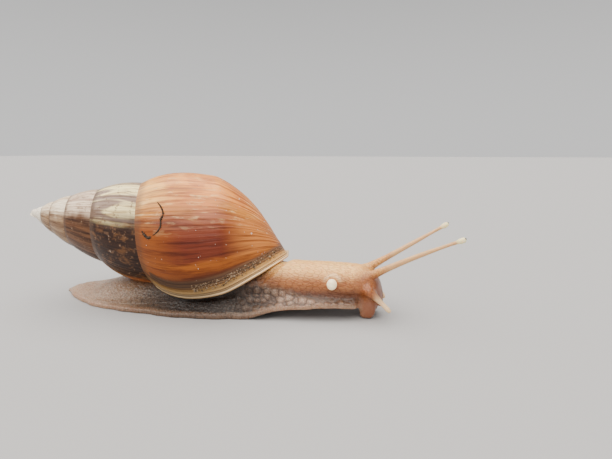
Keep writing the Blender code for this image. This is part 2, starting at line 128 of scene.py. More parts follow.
def shell_axes():
    """Unit vectors along the shell's axis, to its right-hand side, and up across it."""
    heading, dip = math.radians(SHELL_HEADING), math.radians(SHELL_DIP)
    ahead, left = math.cos(heading), math.sin(heading)
    along = np.array([ahead * math.cos(dip), left * math.cos(dip), -math.sin(dip)])
    side = np.array([left, -ahead, 0.0])
    return along, side, np.cross(side, along)


def on_shell(angle, z, r):
    """Millimetre point from growth angle, axial place and radius: apex + length(z axis + r outward)."""
    along, side, up = shell_axes()
    turn = np.radians(LIP_ROLL) - angle
    outward = side * np.cos(turn)[..., None] + up * np.sin(turn)[..., None]
    return SHELL_APEX + SHELL_LENGTH * (z[..., None] * along + r[..., None] * outward)


def ripples(angle, across, seed, waves, low, high):
    """Sum of sines of the growth angle, each a little slanted across the whorl, about -1 to 1."""
    rng = np.random.default_rng(seed)
    total = np.zeros(np.broadcast(angle, across).shape)
    for frequency in rng.uniform(low, high, waves):
        total += np.sin(frequency * angle + rng.uniform(-3, 3) * across + rng.uniform(0, 6.3))
    return total / math.sqrt(waves)


def growth_relief(angle, across, fade):
    """Height of the growth lines in mm: three widths of ripples and, toward the lip, sharp rings,
    times the whorl's breadth; none at the seams, where fade is 0."""
    near_lip = np.exp(angle / math.radians(9))
    fine = 0.022 * (1 + 1.3 * near_lip) * ripples(angle, across, *FINE_LINES)
    middle = 0.03 * ripples(angle, across, *MIDDLE_LINES)
    broad = 0.06 * ripples(angle, across, *BROAD_LINES)
    rings = 0.09 * near_lip * np.abs(np.sin(angle * 115 + 0.6 * across))
    return (fine + middle + broad + rings) * whorl_size(angle) ** WIDTH_POWER * fade


def lip_relief(gap):
    """Height in mm of the lip by its distance from the edge: a sum of bell curves."""
    return sum(height * np.exp(-((gap - place) / width) ** 2) for height, place, width in LIP_WAVES)


def shell_rows(angles, full):
    """Growth lines as rows of points from seam to seam, or down to the axis on the last turn, and
    their growth measures: age in turns, and share of the way across the whorl."""
    a = angles[:, None]
    downward = np.sin(np.linspace(0, 0.5, UPPER_COLUMNS) * math.pi)
    if full:
        split = seam_point(np.zeros(1))[0][0] * WHORL_RATIO
        top = seam_point(a)[0] / whorl_size(a)
        base = split + (BASE_END - split) * np.sin(np.linspace(0, 0.5, BASE_COLUMNS)[1:] * math.pi)
        rel = np.concatenate([top + (split - top) * downward, np.repeat(base[None], len(angles), 0)], 1)
        lean = math.radians(LIP_LEAN) * np.clip(1 + a / math.pi, 0, 1) ** 2
        turned = a + lean * np.clip((rel - SUTURE) / (1 - SUTURE), 0, 1) ** LEAN_POWER
        turned[:, 0] = angles
        z = rel * whorl_size(turned)
        z[:, 0] = seam_point(angles)[0]
        r = whorl_radius(turned, z)
        r[:, -1] = 0.0
    else:
        first, last = seam_point(a)[0], seam_point(a + FULL_TURN)[0]
        z = first + (last - first) * downward
        rel = z / whorl_size(a)
        turned = np.repeat(a, UPPER_COLUMNS, 1)
        r = whorl_radius(turned, z)
    across = (rel - rel[:, :1]) / (1 - rel[:, :1])
    column = np.arange(rel.shape[1])
    fade = np.clip(column / 2.0, 0, 1) * np.clip((column[-1] - column) / 3.0, 0, 1)
    if full:
        begun = np.clip((a + FULL_TURN) / 0.05, 0, 1)
        fade = fade * np.where(column >= UPPER_COLUMNS - 1, begun, 1.0)
    height = growth_relief(a, across, fade)
    if full:
        between = (column > 0) & (column < column[-1])
        height = height + lip_relief(-a * r * SHELL_LENGTH) * between
    r = r + height / SHELL_LENGTH
    return on_shell(turned, z, r), np.stack(np.broadcast_arrays(a / FULL_TURN + TURNS, across), -1)


def grid_faces(rows, columns, first=0, closed=False):
    """Quads of a grid of points numbered row by row; closed joins the last column to the first."""
    i = np.arange(rows - 1)[:, None] * columns + first
    j = np.arange(columns if closed else columns - 1)[None]
    k = (j + 1) % columns
    return np.stack(np.broadcast_arrays(i + j, i + columns + j, i + columns + k, i + k), -1).reshape(-1, 4)


def make_piece(name, points_mm, quads, material, paint=None, corners=None):
    """A smooth closed piece from arrays: points in mm, quads (a repeated corner makes a triangle),
    its material, values painted on its points, and the growth measures at its faces' corners."""
    mesh = bpy.data.meshes.new(name)
    mesh.from_pydata((np.asarray(points_mm) * 0.001).tolist(), [], np.asarray(quads).tolist())
    for label, values in (paint or {}).items():
        layer = mesh.attributes.new(label, "FLOAT", "POINT")
        layer.data.foreach_set("value", np.asarray(values, np.float32))
    if corners is not None:
        layer = mesh.uv_layers.new(name="growth")
        layer.data.foreach_set("uv", np.asarray(corners, np.float32).ravel())
    work = bmesh.new()
    work.from_mesh(mesh)
    bmesh.ops.remove_doubles(work, verts=work.verts, dist=2e-6)
    bmesh.ops.dissolve_degenerate(work, edges=work.edges, dist=1e-7)
    bmesh.ops.recalc_face_normals(work, faces=work.faces)
    if work.calc_volume(signed=True) < 0:
        bmesh.ops.reverse_faces(work, faces=work.faces)
    for face in work.faces:
        face.smooth = True
    work.to_mesh(mesh)
    work.free()
    mesh.materials.append(material)
    piece = bpy.data.objects.new(name, mesh)
    bpy.context.scene.collection.objects.link(piece)
    return piece


def mouth_outline(back, shrink):
    """The mouth's edge (lip, column, inner wall) drawn toward its middle and back up the tube."""
    lip = shell_rows(np.array([-back]), True)[0][0]
    wall = shell_rows(np.array([-back - FULL_TURN]), True)[0][0][UPPER_COLUMNS - 1:]
    steps = np.linspace(0, 1, ROWS_PER_TURN + 1)[1:-1, None]
    column = lip[-1] + (wall[-1] - lip[-1]) * steps
    loop = np.concatenate([lip, column, wall[::-1][:-1]])
    middle = 0.5 * (lip[UPPER_COLUMNS + 3] + wall[6])
    return middle + (loop - middle) * shrink


def grow_shell():
    """The whole coil as four grids of points (early turns, last turn, wall inside the mouth, rounded
    apex), with each point's growth measures and its distance from the lip along the coil."""
    early = np.linspace(-TURNS, -1, int((TURNS - 1) * ROWS_PER_TURN) + 1) * FULL_TURN
    spire, spire_growth = shell_rows(early, False)
    body, body_growth = shell_rows(np.linspace(-1, 0, ROWS_PER_TURN + 1) * FULL_TURN, True)
    # Turns share their seam: a turn's lower edge is the upper edge of the turn grown after it.
    spire[:-ROWS_PER_TURN, -1] = spire[ROWS_PER_TURN:, 0]
    spire[-ROWS_PER_TURN - 1:, -1] = body[:, 0]
    body[0, :UPPER_COLUMNS] = spire[-1]
    gaps = np.zeros(body.shape[:2])
    gaps[:-1] = np.cumsum(np.linalg.norm(np.diff(body, axis=0), axis=2)[::-1], axis=0)[::-1]
    loops = [mouth_outline(math.radians(back), shrink) for back, shrink in MOUTH_WALL]
    loops.append(np.repeat(loops[-1].mean(0)[None], len(loops[0]), 0))
    mouth = np.array(loops)
    depth = INSIDE_AGE + np.linspace(0, 1, len(mouth))[:, None]
    mouth_growth = np.stack(np.broadcast_arrays(depth, np.linspace(0, 1, mouth.shape[1])), -1)
    # The apex's hole is ringed by the first turn's seam and its first growth line.
    ring = np.concatenate([spire[:ROWS_PER_TURN + 1, 0], spire[0, -2:0:-1]])
    middle = ring.mean(0)
    rise = np.linspace(0, math.pi / 2, DOME_RINGS)[:, None, None]
    dome = middle + (ring - middle) * np.cos(rise) - shell_axes()[0] * APEX_DOME * np.sin(rise)
    grids = ((spire, spire_growth, FAR_FROM_LIP, False), (body, body_growth, gaps, False),
             (mouth, mouth_growth, 0.0, True), (dome, 0.0, FAR_FROM_LIP, True))
    points, growth, from_lip, quads = [], [], [], []
    count = 0
    for grid, measures, distance, closed in grids:
        rows, columns = grid.shape[:2]
        points.append(grid.reshape(-1, 3))
        growth.append(np.broadcast_to(measures, (rows, columns, 2)).reshape(-1, 2))
        from_lip.append(np.broadcast_to(distance, (rows, columns)).ravel())
        quads.append(grid_faces(rows, columns, count, closed))
        count += rows * columns
    quads = np.concatenate(quads)
    return np.concatenate(points), quads, np.concatenate(growth)[quads.ravel()], np.concatenate(from_lip)


class Recipe:
    """Short hand for wiring a material's nodes."""

    def __init__(self, name):
        self.material = bpy.data.materials.new(name)
        self.material.use_nodes = True
        self.tree = self.material.node_tree
        self.shader = self.tree.nodes["Principled BSDF"]

    def node(self, kind, **settings):
        made = self.tree.nodes.new(kind)
        for key, value in settings.items():
            setattr(made, key, value)
        return made

    def put(self, socket, value):
        """Link a value to a socket, or set it there; a lone number on a colour socket is a grey."""
        if isinstance(value, bpy.types.NodeSocket):
            self.tree.links.new(value, socket)
        elif socket.type == "RGBA":
            socket.default_value = (*(value if isinstance(value, tuple) else (value,) * 3), 1.0)
        else:
            socket.default_value = value

    def place(self):
        """Where each point lies, in metres from the piece's origin."""
        return self.node("ShaderNodeTexCoord").outputs["Object"]

    def painted(self, name):
        """A value painted on the mesh's points."""
        return self.node("ShaderNodeAttribute", attribute_name=name).outputs["Fac"]

    def parts(self, vector):
        made = self.node("ShaderNodeSeparateXYZ")
        self.put(made.inputs[0], vector)
        return made.outputs

    def maths(self, operation, a, b=0.0, c=0.0, clamp=False):
        made = self.node("ShaderNodeMath", operation=operation, use_clamp=clamp)
        for socket, value in zip(made.inputs, (a, b, c)):
            self.put(socket, value)
        return made.outputs[0]

    def times(self, product, *factors):
        """Several values multiplied together."""
        for factor in factors:
            product = self.maths("MULTIPLY", product, factor)
        return product

    def waver(self, value, noise, reach):
        """A value moved to and fro by a noise: value + reach (noise - 1/2)."""
        return self.maths("MULTIPLY_ADD", self.maths("SUBTRACT", noise, 0.5), reach, value)

    def texture(self, kind, vector, scale, shift, **settings):
        """A pattern node on a vector; a scale of three numbers stretches it differently each way."""
        made = self.node(kind, **settings)
        if isinstance(scale, tuple):
            mapping = self.node("ShaderNodeMapping")
            self.put(mapping.inputs["Vector"], vector)
            mapping.inputs["Scale"].default_value = scale
            mapping.inputs["Location"].default_value = shift
            vector, scale = mapping.outputs[0], 1.0
        self.put(made.inputs["Vector"], vector)
        made.inputs["Scale"].default_value = scale
        return made

    def noise(self, vector, scale, detail, rough, twist=0.0, shift=(0, 0, 0)):
        """Clouds, from 0 to 1 and mostly near 1/2."""
        made = self.texture("ShaderNodeTexNoise", vector, scale, shift)
        made.inputs["Detail"].default_value = detail
        made.inputs["Roughness"].default_value = rough
        made.inputs["Distortion"].default_value = twist
        return made.outputs["Fac"]

    def cells(self, vector, scale, feature):
        """Distance within the cells of a foam: from their middles, or to their walls."""
        made = self.texture("ShaderNodeTexVoronoi", vector, scale, (0, 0, 0), feature=feature)
        return made.outputs["Distance"]

    def smooth(self, value, low, high):
        """0 at low, 1 at high, an S between; low may be the larger of the two."""
        made = self.node("ShaderNodeMapRange", interpolation_type="SMOOTHSTEP")
        self.put(made.inputs["Value"], value)
        made.inputs["From Min"].default_value = low
        made.inputs["From Max"].default_value = high
        return made.outputs["Result"]

    def ramp(self, factor, *stops):
        """Colours or greys by the value of factor, straight between the stops."""
        made = self.node("ShaderNodeValToRGB")
        while len(made.color_ramp.elements) < len(stops):
            made.color_ramp.elements.new(0.5)
        for element, (place, colour) in zip(made.color_ramp.elements, stops):
            element.position = place
            element.color = (*(colour if isinstance(colour, tuple) else (colour,) * 3), 1.0)
        self.put(made.inputs["Fac"], factor)
        return made.outputs["Color"]

    def blend(self, factor, a, b, mode="MIX"):
        made = self.node("ShaderNodeMix", data_type="RGBA", blend_type=mode)
        self.put(made.inputs["Factor"], factor)
        self.put(made.inputs["A"], a)
        self.put(made.inputs["B"], b)
        return made.outputs["Result"]

    def lay(self, under, over, *masks):
        """One colour laid over another as far as all the masks, multiplied together, let it."""
        return self.blend(self.times(*masks), under, over)

    def bump(self, height, strength, distance):
        made = self.node("ShaderNodeBump")
        made.inputs["Strength"].default_value = strength
        made.inputs["Distance"].default_value = distance
        self.put(made.inputs["Height"], height)
        return made.outputs["Normal"]

    def finish(self, **values):
        """Set the shader's own sockets and give the material back."""
        for label, value in values.items():
            self.put(self.shader.inputs[label.replace("_", " ")], value)
        return self.material


# Colour of the body whorl by share of its turn: dark beneath and on the left, orange over the top,
# chestnut down the right side, with an amber stripe toward the lip.
BODY_COLOURS = ((0.0, (0.10, 0.04, 0.016)), (0.30, (0.25, 0.09, 0.03)), (0.52, (0.52, 0.22, 0.085)),
                (0.64, (0.97, 0.38, 0.07)), (0.74, (0.92, 0.32, 0.06)), (0.79, (0.42, 0.13, 0.05)),
                (0.82, (0.24, 0.055, 0.018)), (0.85, (0.145, 0.024, 0.010)), (0.89, (0.15, 0.026, 0.009)),
                (0.902, (0.36, 0.10, 0.012)), (0.922, (0.29, 0.075, 0.008)), (0.94, (0.125, 0.028, 0.006)),
                (0.96, (0.10, 0.035, 0.015)))
# Colour of the lip by distance from its edge in cm: pale bands between dark growth stops.
LIP_COLOURS = ((0.0, (0.54, 0.36, 0.19)), (0.05, (0.34, 0.20, 0.09)), (0.065, (0.68, 0.48, 0.27)),
               (0.095, (0.66, 0.46, 0.24)), (0.115, (0.13, 0.065, 0.03)), (0.14, (0.56, 0.40, 0.22)),
               (0.175, (0.48, 0.31, 0.14)), (0.195, (0.11, 0.05, 0.022)), (0.235, (0.46, 0.28, 0.11)),
               (0.36, (0.38, 0.20, 0.06)), (0.40, (0.12, 0.055, 0.025)), (0.435, (0.24, 0.13, 0.055)),
               (0.47, (0.085, 0.042, 0.024)), (0.54, (0.15, 0.075, 0.035)), (0.57, (0.075, 0.035, 0.02)),
               (0.64, (0.14, 0.065, 0.03)), (0.70, (0.10, 0.03, 0.012)))


def shell_material():
    """Growth-line streaks: noise stretched across the whorl, coloured by age along the coil."""
    r = Recipe("shell gloss")
    uv = r.node("ShaderNodeUVMap", uv_map="growth").outputs["UV"]
    age, across, _ = r.parts(uv)

    def turns_past(turn, soft=0.01):
        """1 on the part of the coil grown after this turn, 0 before it."""
        return r.smooth(age, turn - soft, turn + soft)

    blotch = r.noise(uv, (7.0, 2.2, 1), 3, 0.6, 0.6)
    streak = r.noise(uv, (38.0, 1.6, 1), 4, 0.6, 0.3)
    hair = r.noise(uv, (105.0, 2.4, 1), 4, 0.65, 0.15)
    speck = r.noise(r.place(), 900.0, 2, 0.6)

    # The body whorl: how far round its turn sets the ground; stains and streaks lie over it.
    last = r.maths("SUBTRACT", r.waver(r.waver(age, blotch, 0.06), streak, 0.03), 5.0, clamp=True)
    left = r.smooth(across, 0.36, 0.10)
    flank = r.times(r.smooth(across, 0.55, 0.80), r.smooth(last, 0.95, 0.88))
    # Partly painted sheen: a gold patch on the left and pale streaks over the top, over the shell's own
    # pale colour.
    golden_and_sheen = r.blend(r.smooth(last, 0.735, 0.785), (1.0, 0.49, 0.08), (0.52, 0.20, 0.03))
    pale = r.smooth(r.times(r.smooth(streak, 0.52, 0.72), r.smooth(across, 0.75, 0.1)), 0.1, 1.0)
    dark = r.smooth(r.noise(uv, (24.0, 1.1, 1), 4, 0.65, 0.4, (3.1, 0, 0)), 0.5, 0.68)
    honey = r.smooth(r.noise(uv, (13.0, 1.6, 1), 3, 0.6, 0.5, (8.4, 2, 0)), 0.54, 0.68)
    russet = r.smooth(r.noise(uv, (9.0, 4.6, 1), 3, 0.6, 0.7, (0.7, 3.3, 0)), 0.44, 0.60)
    body = r.ramp(last, *BODY_COLOURS)
    body = r.lay(body, (0.27, 0.072, 0.008), r.smooth(last, 0.80, 0.84), left, 0.85)
    # Painted sheen in part: the gold patch and the pale streaks laid on.
    body = r.lay(body, golden_and_sheen, r.smooth(last, 0.815, 0.775), r.smooth(last, 0.55, 0.68), left, 0.9)
    body = r.lay(body, (0.68, 0.25, 0.055), flank, 0.8)
    body = r.lay(body, (1.0, 0.58, 0.17), pale, r.smooth(last, 0.84, 0.76), 0.6)
    body = r.lay(body, (0.13, 0.022, 0.010), dark, 0.45)
    body = r.lay(body, (0.50, 0.20, 0.02), honey, 0.45)
    body = r.lay(body, (0.62, 0.18, 0.045), russet, r.smooth(last, 0.80, 0.72), 0.5)

    # The spire: each whorl has its own cream and brown, darker away from the top of its turn, partly
    # weathering, partly painted shade.
    off_top = r.maths("ABSOLUTE", r.maths("SUBTRACT", r.maths("FRACT", age), 0.6))
    shaded_and_weathered = r.smooth(r.waver(off_top, blotch, 0.10), 0.155, 0.24)
    flame = r.smooth(r.noise(uv, (17.0, 0.9, 1), 3, 0.6, 0.7, (1.7, 0, 0)), 0.46, 0.54)
    mottle = r.smooth(r.noise(uv, (30.0, 7.0, 1), 4, 0.6, 0.5, (5, 1, 0)), 0.50, 0.64)
    ribs = r.smooth(r.noise(uv, (44.0, 0.7, 1), 3, 0.6, 0.2, (6.2, 0, 0)), 0.42, 0.60)
    flamed = r.blend(shaded_and_weathered, r.blend(flame, (1.0, 0.84, 0.42), (0.28, 0.19, 0.14)),
                     r.blend(mottle, (0.030, 0.012, 0.007), (0.13, 0.056, 0.020)))
    ribbed = r.blend(shaded_and_weathered, r.blend(ribs, (0.80, 0.63, 0.46), (0.44, 0.29, 0.20)),
                     r.blend(ribs, (0.15, 0.064, 0.027), (0.055, 0.022, 0.010)))
    young = r.blend(shaded_and_weathered, r.blend(ribs, (0.96, 0.84, 0.64), (0.66, 0.49, 0.32)),
                    r.blend(ribs, (0.36, 0.235, 0.135), (0.20, 0.115, 0.065)))
    colour = r.blend(r.smooth(age, 0.7, 1.5), (1.0, 0.93, 0.78), young)
    for turn, whorl in ((3, ribbed), (4, flamed), (5, body)):
        colour = r.blend(turns_past(turn), colour, whorl)

    # Over all of it: painted highlights in short bright streaks, pits full of dirt, the growth lines
    # themselves.
    painted_glint = r.smooth(r.noise(uv, (82.0, 8.0, 1), 4, 0.6, 0.2, (2.2, 4, 0)), 0.54, 0.70)
    colour = r.lay(colour, (1.0, 0.70, 0.32), painted_glint, r.smooth(last, 0.86, 0.78), turns_past(5, 0.02), 0.5)
    colour = r.lay(colour, (0.16, 0.085, 0.045), r.smooth(speck, 0.58, 0.66), r.smooth(age, 5.01, 4.97),
                   r.smooth(age, 2.6, 4.2), 0.7)
    lines = r.blend(r.smooth(hair, 0.36, 0.54), (0.44, 0.32, 0.24), 1.0)
    colour = r.blend(0.85, colour, lines, "MULTIPLY")

    # The lip's bands, narrower and paler toward its base; then the seam darkened, the inside of the mouth
    # dark as painted shade, the wear.
    narrow = r.maths("MULTIPLY_ADD", r.smooth(across, 0.5, 0.88), -0.2, 1.0)
    gap = r.waver(r.maths("DIVIDE", r.painted("from_lip"), narrow), blotch, 0.5)
    band = r.ramp(r.maths("MULTIPLY", gap, 0.1, clamp=True), *LIP_COLOURS)
    band = r.blend(1.0, band, r.maths("MULTIPLY_ADD", r.smooth(across, 0.35, 0.85), 1.0, 0.60), "MULTIPLY")
    colour = r.lay(colour, band, r.smooth(r.waver(gap, streak, 2.2), 7.6, 6.2))
    colour = r.lay(colour, (0.09, 0.05, 0.03), r.smooth(across, 0.07, 0.02),
                   r.maths("MULTIPLY_ADD", blotch, 1.1, 0.1), r.smooth(age, 0.6, 1.6), 0.85)
    # Painted shade: the wall inside the mouth made dark.
    colour = r.lay(colour, (0.20, 0.125, 0.07), r.smooth(age, TURNS + 0.01, TURNS + 0.08))
    colour = r.lay(colour, (0.75, 0.62, 0.5), r.smooth(speck, 0.70, 0.78), 0.4)

    height = r.maths("MULTIPLY_ADD", streak, 0.5, r.times(hair, 0.6))
    pits = r.times(r.smooth(speck, 0.3, 0.2), -0.5)
    normal = r.bump(r.maths("ADD", height, pits), 0.45, 0.00022)
    worn = r.times(r.smooth(last, 0.79, 0.84), r.maths("MULTIPLY_ADD", flank, -0.5, 1.0))
    polish = r.blend(turns_past(5, 0.02), 0.15, r.blend(worn, 0.22, 0.05))
    return r.finish(Base_Color=colour, Roughness=r.ramp(hair, (0.3, 0.46), (0.7, 0.30)), Normal=normal,
                    Coat_Weight=polish, Coat_Roughness=0.16, Coat_Normal=normal, Specular_IOR_Level=0.21)


points, quads, growth, from_lip = grow_shell()
shell_piece = make_piece("shell_grown", points, quads, shell_material(), {"from_lip": from_lip}, growth)
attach(shell_piece, "root")
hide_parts("shell")


# ------------------------------------------------------------------ the skin
# One wet skin over foot, neck, head, lips and feelers, muscular and unbroken: warty along the front
# of the foot, finely grooved on the neck, thin and flat at the tail, clear and smooth on the feelers.
# Its shape is the zero surface of a distance field melted together from those forms.

TAIL_X, SOLE_FRONT_X = -39.45, 50.7  # mm, where the sole's two ends are rounded off
FOOT_HALF_WIDTH = 13.6
SOLE_ARCH = 4.7  # what sole_lift is a share of
RIM_HEIGHT = 1.3  # how thick the sole's edge is
NECK_BACK_X, SNOUT_X = 4, 56.5  # where the neck starts inside the foot, and where the head ends
HEAD_Y = 2.6
KNOB_PLACE = (44.7, -4.4, 9.5)
CELL = 0.3  # mm, the grid that the skin is cut from
FAR = 1e3  # mm, farther off than anything on the snail


def through(x, xs, ys):
    """A smooth curve through named sizes: cubic pieces whose slopes are the mean of their neighbours."""
    xs, ys = np.asarray(xs, float), np.asarray(ys, float)
    slopes = np.gradient(ys, xs)
    i = np.clip(np.searchsorted(xs, x) - 1, 0, len(xs) - 2)
    h = xs[i + 1] - xs[i]
    t = np.clip((x - xs[i]) / h, 0, 1)
    rise = (1 + 2 * t) * (1 - t) ** 2 * ys[i] + t * t * (3 - 2 * t) * ys[i + 1]
    return rise + h * (t * (1 - t) ** 2 * slopes[i] + t * t * (t - 1) * slopes[i + 1])


def step_up(value, low, high):
    """0 below low, 1 above high, an S between."""
    t = np.clip((value - low) / (high - low), 0, 1)
    return t * t * (3 - 2 * t)


def melt(a, b, reach):
    """Union of two distance fields, rounded where they meet within reach."""
    h = np.clip(0.5 + 0.5 * (b - a) / reach, 0, 1)
    return b * (1 - h) + a * h - reach * h * (1 - h)


def foot_middle_y(x):
    """The foot's midline: tail a little to the right, head a little to the left."""
    return through(x, (-39.6, -29, -18.7, -2, 12, 23.4, 38, 51),
                   (-2.7, -2.2, -1.9, -1.2, -1.0, -0.6, 0.9, 2.5))


def foot_half(x):
    """Half width of the sole: a share of the widest, with the slow waves of its edge."""
    share = through(x, (-39.6, -37.5, -34, -29, -24, -18.7, -11, -2, 5, 12, 23.4, 30, 38, 45, 49, 51),
                    (0.06, 0.16, 0.37, 0.61, 0.77, 0.89, 0.955, 0.99,
                     1.0, 0.93, 0.745, 0.68, 0.62, 0.57, 0.5, 0.42))
    waves = 0.16 * np.sin(x * 0.52 + 0.4) + 0.1 * np.sin(x * 1.13 + 2.0)
    half = FOOT_HALF_WIDTH * share - 0.22 + waves * np.clip(share * 1.5, 0, 1)
    return half - 1.6 * np.clip(TAIL_X - x, 0, 9) - 2.5 * np.clip(x - SOLE_FRONT_X, 0, 9)


def sole_lift(x):
    """Height of the sole: on the ground behind, arched up under the neck."""
    return SOLE_ARCH * through(x, (22, 25, 27.5, 31, 38, 45, 51), (0.0, 0.1, 0.3, 0.5, 0.66, 0.75, 0.68))


def seat_height(x):
    """Height of the shoulder where the neck grows out of the foot."""
    return through(x, (-39.6, -34, -26, -15, 0, 19, 23.4, 35, 51),
                   (0.4, 1.5, 2.4, 3.2, 4.0, 4.5, 4.8, 5.3, 5.3))


def foot_field(x, y, z):
    """The foot: inside its width, above its sole, below a top that climbs from the rim to the seat
    and, behind the neck, arches on to the crown."""
    half = foot_half(x)
    wide = np.maximum(half, 0.4)
    off_middle = np.abs(y - foot_middle_y(x))
    v = off_middle / wide
    lift = sole_lift(x)
    rim = RIM_HEIGHT * np.minimum(1.0, wide / 3.0)
    seat = seat_height(x) - lift
    crown = through(x, (-39.6, -37.5, -34, -30, -26, -22, -15, -5, 5, 12, 19),
                    (0.6, 1.4, 2.7, 3.3, 4.1, 5.3, 6.9, 8.4, 9.9, 11.1, 11.5))
    crown = np.where(x > 19, seat, crown)
    shoulder = through(x, (-39.6, -22, 0, 19), (0.9, 0.7, 0.4, 0.3))
    arch = through(x, (-39.6, -22, 0, 19), (0.95, 0.9, 0.78, 0.68))
    climb = step_up((1.0 - v) / shoulder, 0, 1)
    hump = np.sqrt(np.clip(1 - (v / arch) ** 2, 0, 1))
    top = rim + np.maximum(seat - rim, 0.05) * climb + np.maximum(crown - seat, 0) * hump
    above = (z - lift - top) * 0.8
    body = -melt(half - off_middle, -above, 0.7)
    return -melt(-body, z - lift, 0.35)


def neck_field(x, y, z):
    """Neck and head: an egg-shaped section that shrinks to the rounded snout."""
    places = (4, 19, 27, 36, 44, 47.5, 49.5, 51.5, 53.3, 54.8, 55.8, 56.5)
    half = through(x, places, (7.8, 7.6, 6.6, 5.9, 5.75, 5.7, 5.55, 5.25, 4.75, 4.05, 3.1, 1.2))
    top = through(x, places, (11.5, 13.6, 14.15, 13.95, 13.9, 13.75, 13.6, 13.2, 12.3, 10.9, 9.3, 7.0))
    low = through(x, places, (3.0, 4.0, 4.5, 4.8, 4.9, 5.0, 5.2, 5.4, 5.55, 5.6, 5.65, 6.0))
    waist = low + 0.42 * (top - low)
    tall = np.maximum(np.where(z > waist, top - waist, waist - low), 0.3)
    half = np.maximum(half - 3.0 * np.clip(x - 56.4, 0, 5), 0.3)
    y = (y - foot_middle_y(np.minimum(x, 51)) - 0.1) / half
    z = (z - waist) / tall
    power = np.where(z > 0, 2.0, 2.5)
    q = (np.abs(y) ** power + np.abs(z) ** power) ** (1 / power)
    return np.maximum((q - 1) * np.minimum(half, tall), np.maximum(NECK_BACK_X - x, x - SNOUT_X))


def lobe_field(x, y, z, centre, size, power=2.6):
    """A soft block: the p-norm of the scaled offsets from its middle."""
    q = (np.abs((x - centre[0]) / size[0]) ** power + np.abs((y - centre[1]) / size[1]) ** power
         + np.abs((z - centre[2]) / size[2]) ** power) ** (1 / power)
    return (q - 1) * min(size)


def limb_field(x, y, z, path, radii):
    """A bent tapering limb: distance to the nearest stretch of its path, less the radius there."""
    best = np.full(x.shape, FAR)
    for a, b, ra, rb in zip(path[:-1], path[1:], radii[:-1], radii[1:]):
        d = b - a
        t = np.clip(((x - a[0]) * d[0] + (y - a[1]) * d[1] + (z - a[2]) * d[2]) / (d @ d), 0, 1)
        gap = np.sqrt((x - a[0] - t * d[0]) ** 2 + (y - a[1] - t * d[1]) ** 2 + (z - a[2] - t * d[2]) ** 2)
        best = np.minimum(best, gap - (ra + (rb - ra) * t))
    return best


def bowed(start, end, lift, steps):
    """A path from start to end, bowed up in its middle."""
    t = np.linspace(0, 1, steps)[:, None]
    start, end = np.asarray(start, float), np.asarray(end, float)
    return start + (end - start) * t + np.array([0, 0, lift]) * 4 * t * (1 - t)


# Radius of an upper feeler by share of its length: a broad root, a thin shaft, a round knob.
FEELER_SHARES = np.array([0, 0.06, 0.12, 0.2, 0.3, 0.42, 0.54, 0.66, 0.78, 0.86, 0.91, 0.945,
                          0.965, 0.985, 1.0])
FEELER_RADII = through(FEELER_SHARES, (0, 0.12, 0.3, 0.6, 0.9, 0.945, 0.975, 1.0),
                       (1.3, 0.97, 0.76, 0.6, 0.45, 0.5, 0.72, 0.66))
FEELERS = {"right": ((54.0, HEAD_Y - 2.2, 11.3), (75.6, -3.6, 22.5), 0.4),
           "left": ((52.4, HEAD_Y + 2.4, 12.2), (71.7, 8.0, 24.2), 0.0)}
LOWER_FEELERS = {"right": ((53.9, HEAD_Y - 4.9, 7.8), (59.35, HEAD_Y - 5.7, 3.25)),
                 "left": ((53.5, HEAD_Y + 4.9, 7.8), (56.4, HEAD_Y + 5.7, 3.25))}
PATH_POINTS, LOWER_POINTS = 41, 9


def snout_field(x, y, z):
    """Everything ahead of the neck but the upper feelers: the lip, the two lobes that feel the
    ground, the mouth between them and the lower feelers."""
    f = lobe_field(x, y, z, (56.0 - 0.15 * (z - 4.3), HEAD_Y, 4.5), (0.7, 2.7, 1.5))
    for side in (-1, 1):
        middle = (53.3 + 0.12 * (z - 2.6), HEAD_Y + side * 2.6, 2.75)
        f = melt(f, lobe_field(x, y, z, middle, (2.05, 1.5, 2.75), 2.8), 0.5)
    f = melt(f, lobe_field(x, y, z, (53.0, HEAD_Y, 3.9), (1.6, 1.2, 1.9)), 0.5)
    radii = through(np.linspace(0, 1, LOWER_POINTS), (0, 0.35, 0.7, 0.88, 0.96, 1.0),
                    (1.25, 0.88, 0.58, 0.64, 0.58, 0.5))
    for start, end in LOWER_FEELERS.values():
        path = bowed(start, end, 0.15, LOWER_POINTS)
        path[-1] = path[-1] + (path[-2] - path[-1]) * 0.35
        f = melt(f, limb_field(x, y, z, path, radii), 0.45)
    return f


def feelers_field(x, y, z):
    """The two upper feelers, each ending in the round knob that carries the eye."""
    f = np.full(x.shape, FAR)
    places = np.linspace(0, 1, PATH_POINTS)
    for start, end, lift in FEELERS.values():
        path = bowed(start, end, lift, PATH_POINTS)
        path = np.stack([np.interp(FEELER_SHARES, places, path[:, k]) for k in range(3)], -1)
        f = np.minimum(f, limb_field(x, y, z, path, FEELER_RADII))
    return f


# The part of the shell's lip that rests on the neck, and the mm by which it presses the skin in.
LIP_ON_NECK = shell_rows(np.zeros(1), True)[0][0][25:42:4]
PRESSED_IN = 0.95


def skin_field(p):
    """The whole soft body, as one field: foot and neck melted together, pressed in under the shell's
    lip, then snout, then feelers."""
    x, y, z = p[..., 0], p[..., 1], p[..., 2]
    f = melt(foot_field(x, y, z), neck_field(x, y, z), 2.6 - 1.0 * step_up(x, 40, 50))
    near = (x > 20) & (x < 34) & (z > 6)
    gap = limb_field(x[near], y[near], z[near], LIP_ON_NECK, np.zeros(len(LIP_ON_NECK)))
    f[near] += PRESSED_IN * step_up(-gap, -3.0, -0.8)
    ahead = x > 49
    if ahead.any():
        q = (x[ahead], y[ahead], z[ahead])
        f[ahead] = melt(melt(f[ahead], snout_field(*q), 1.5), feelers_field(*q), 1.3)
    return f


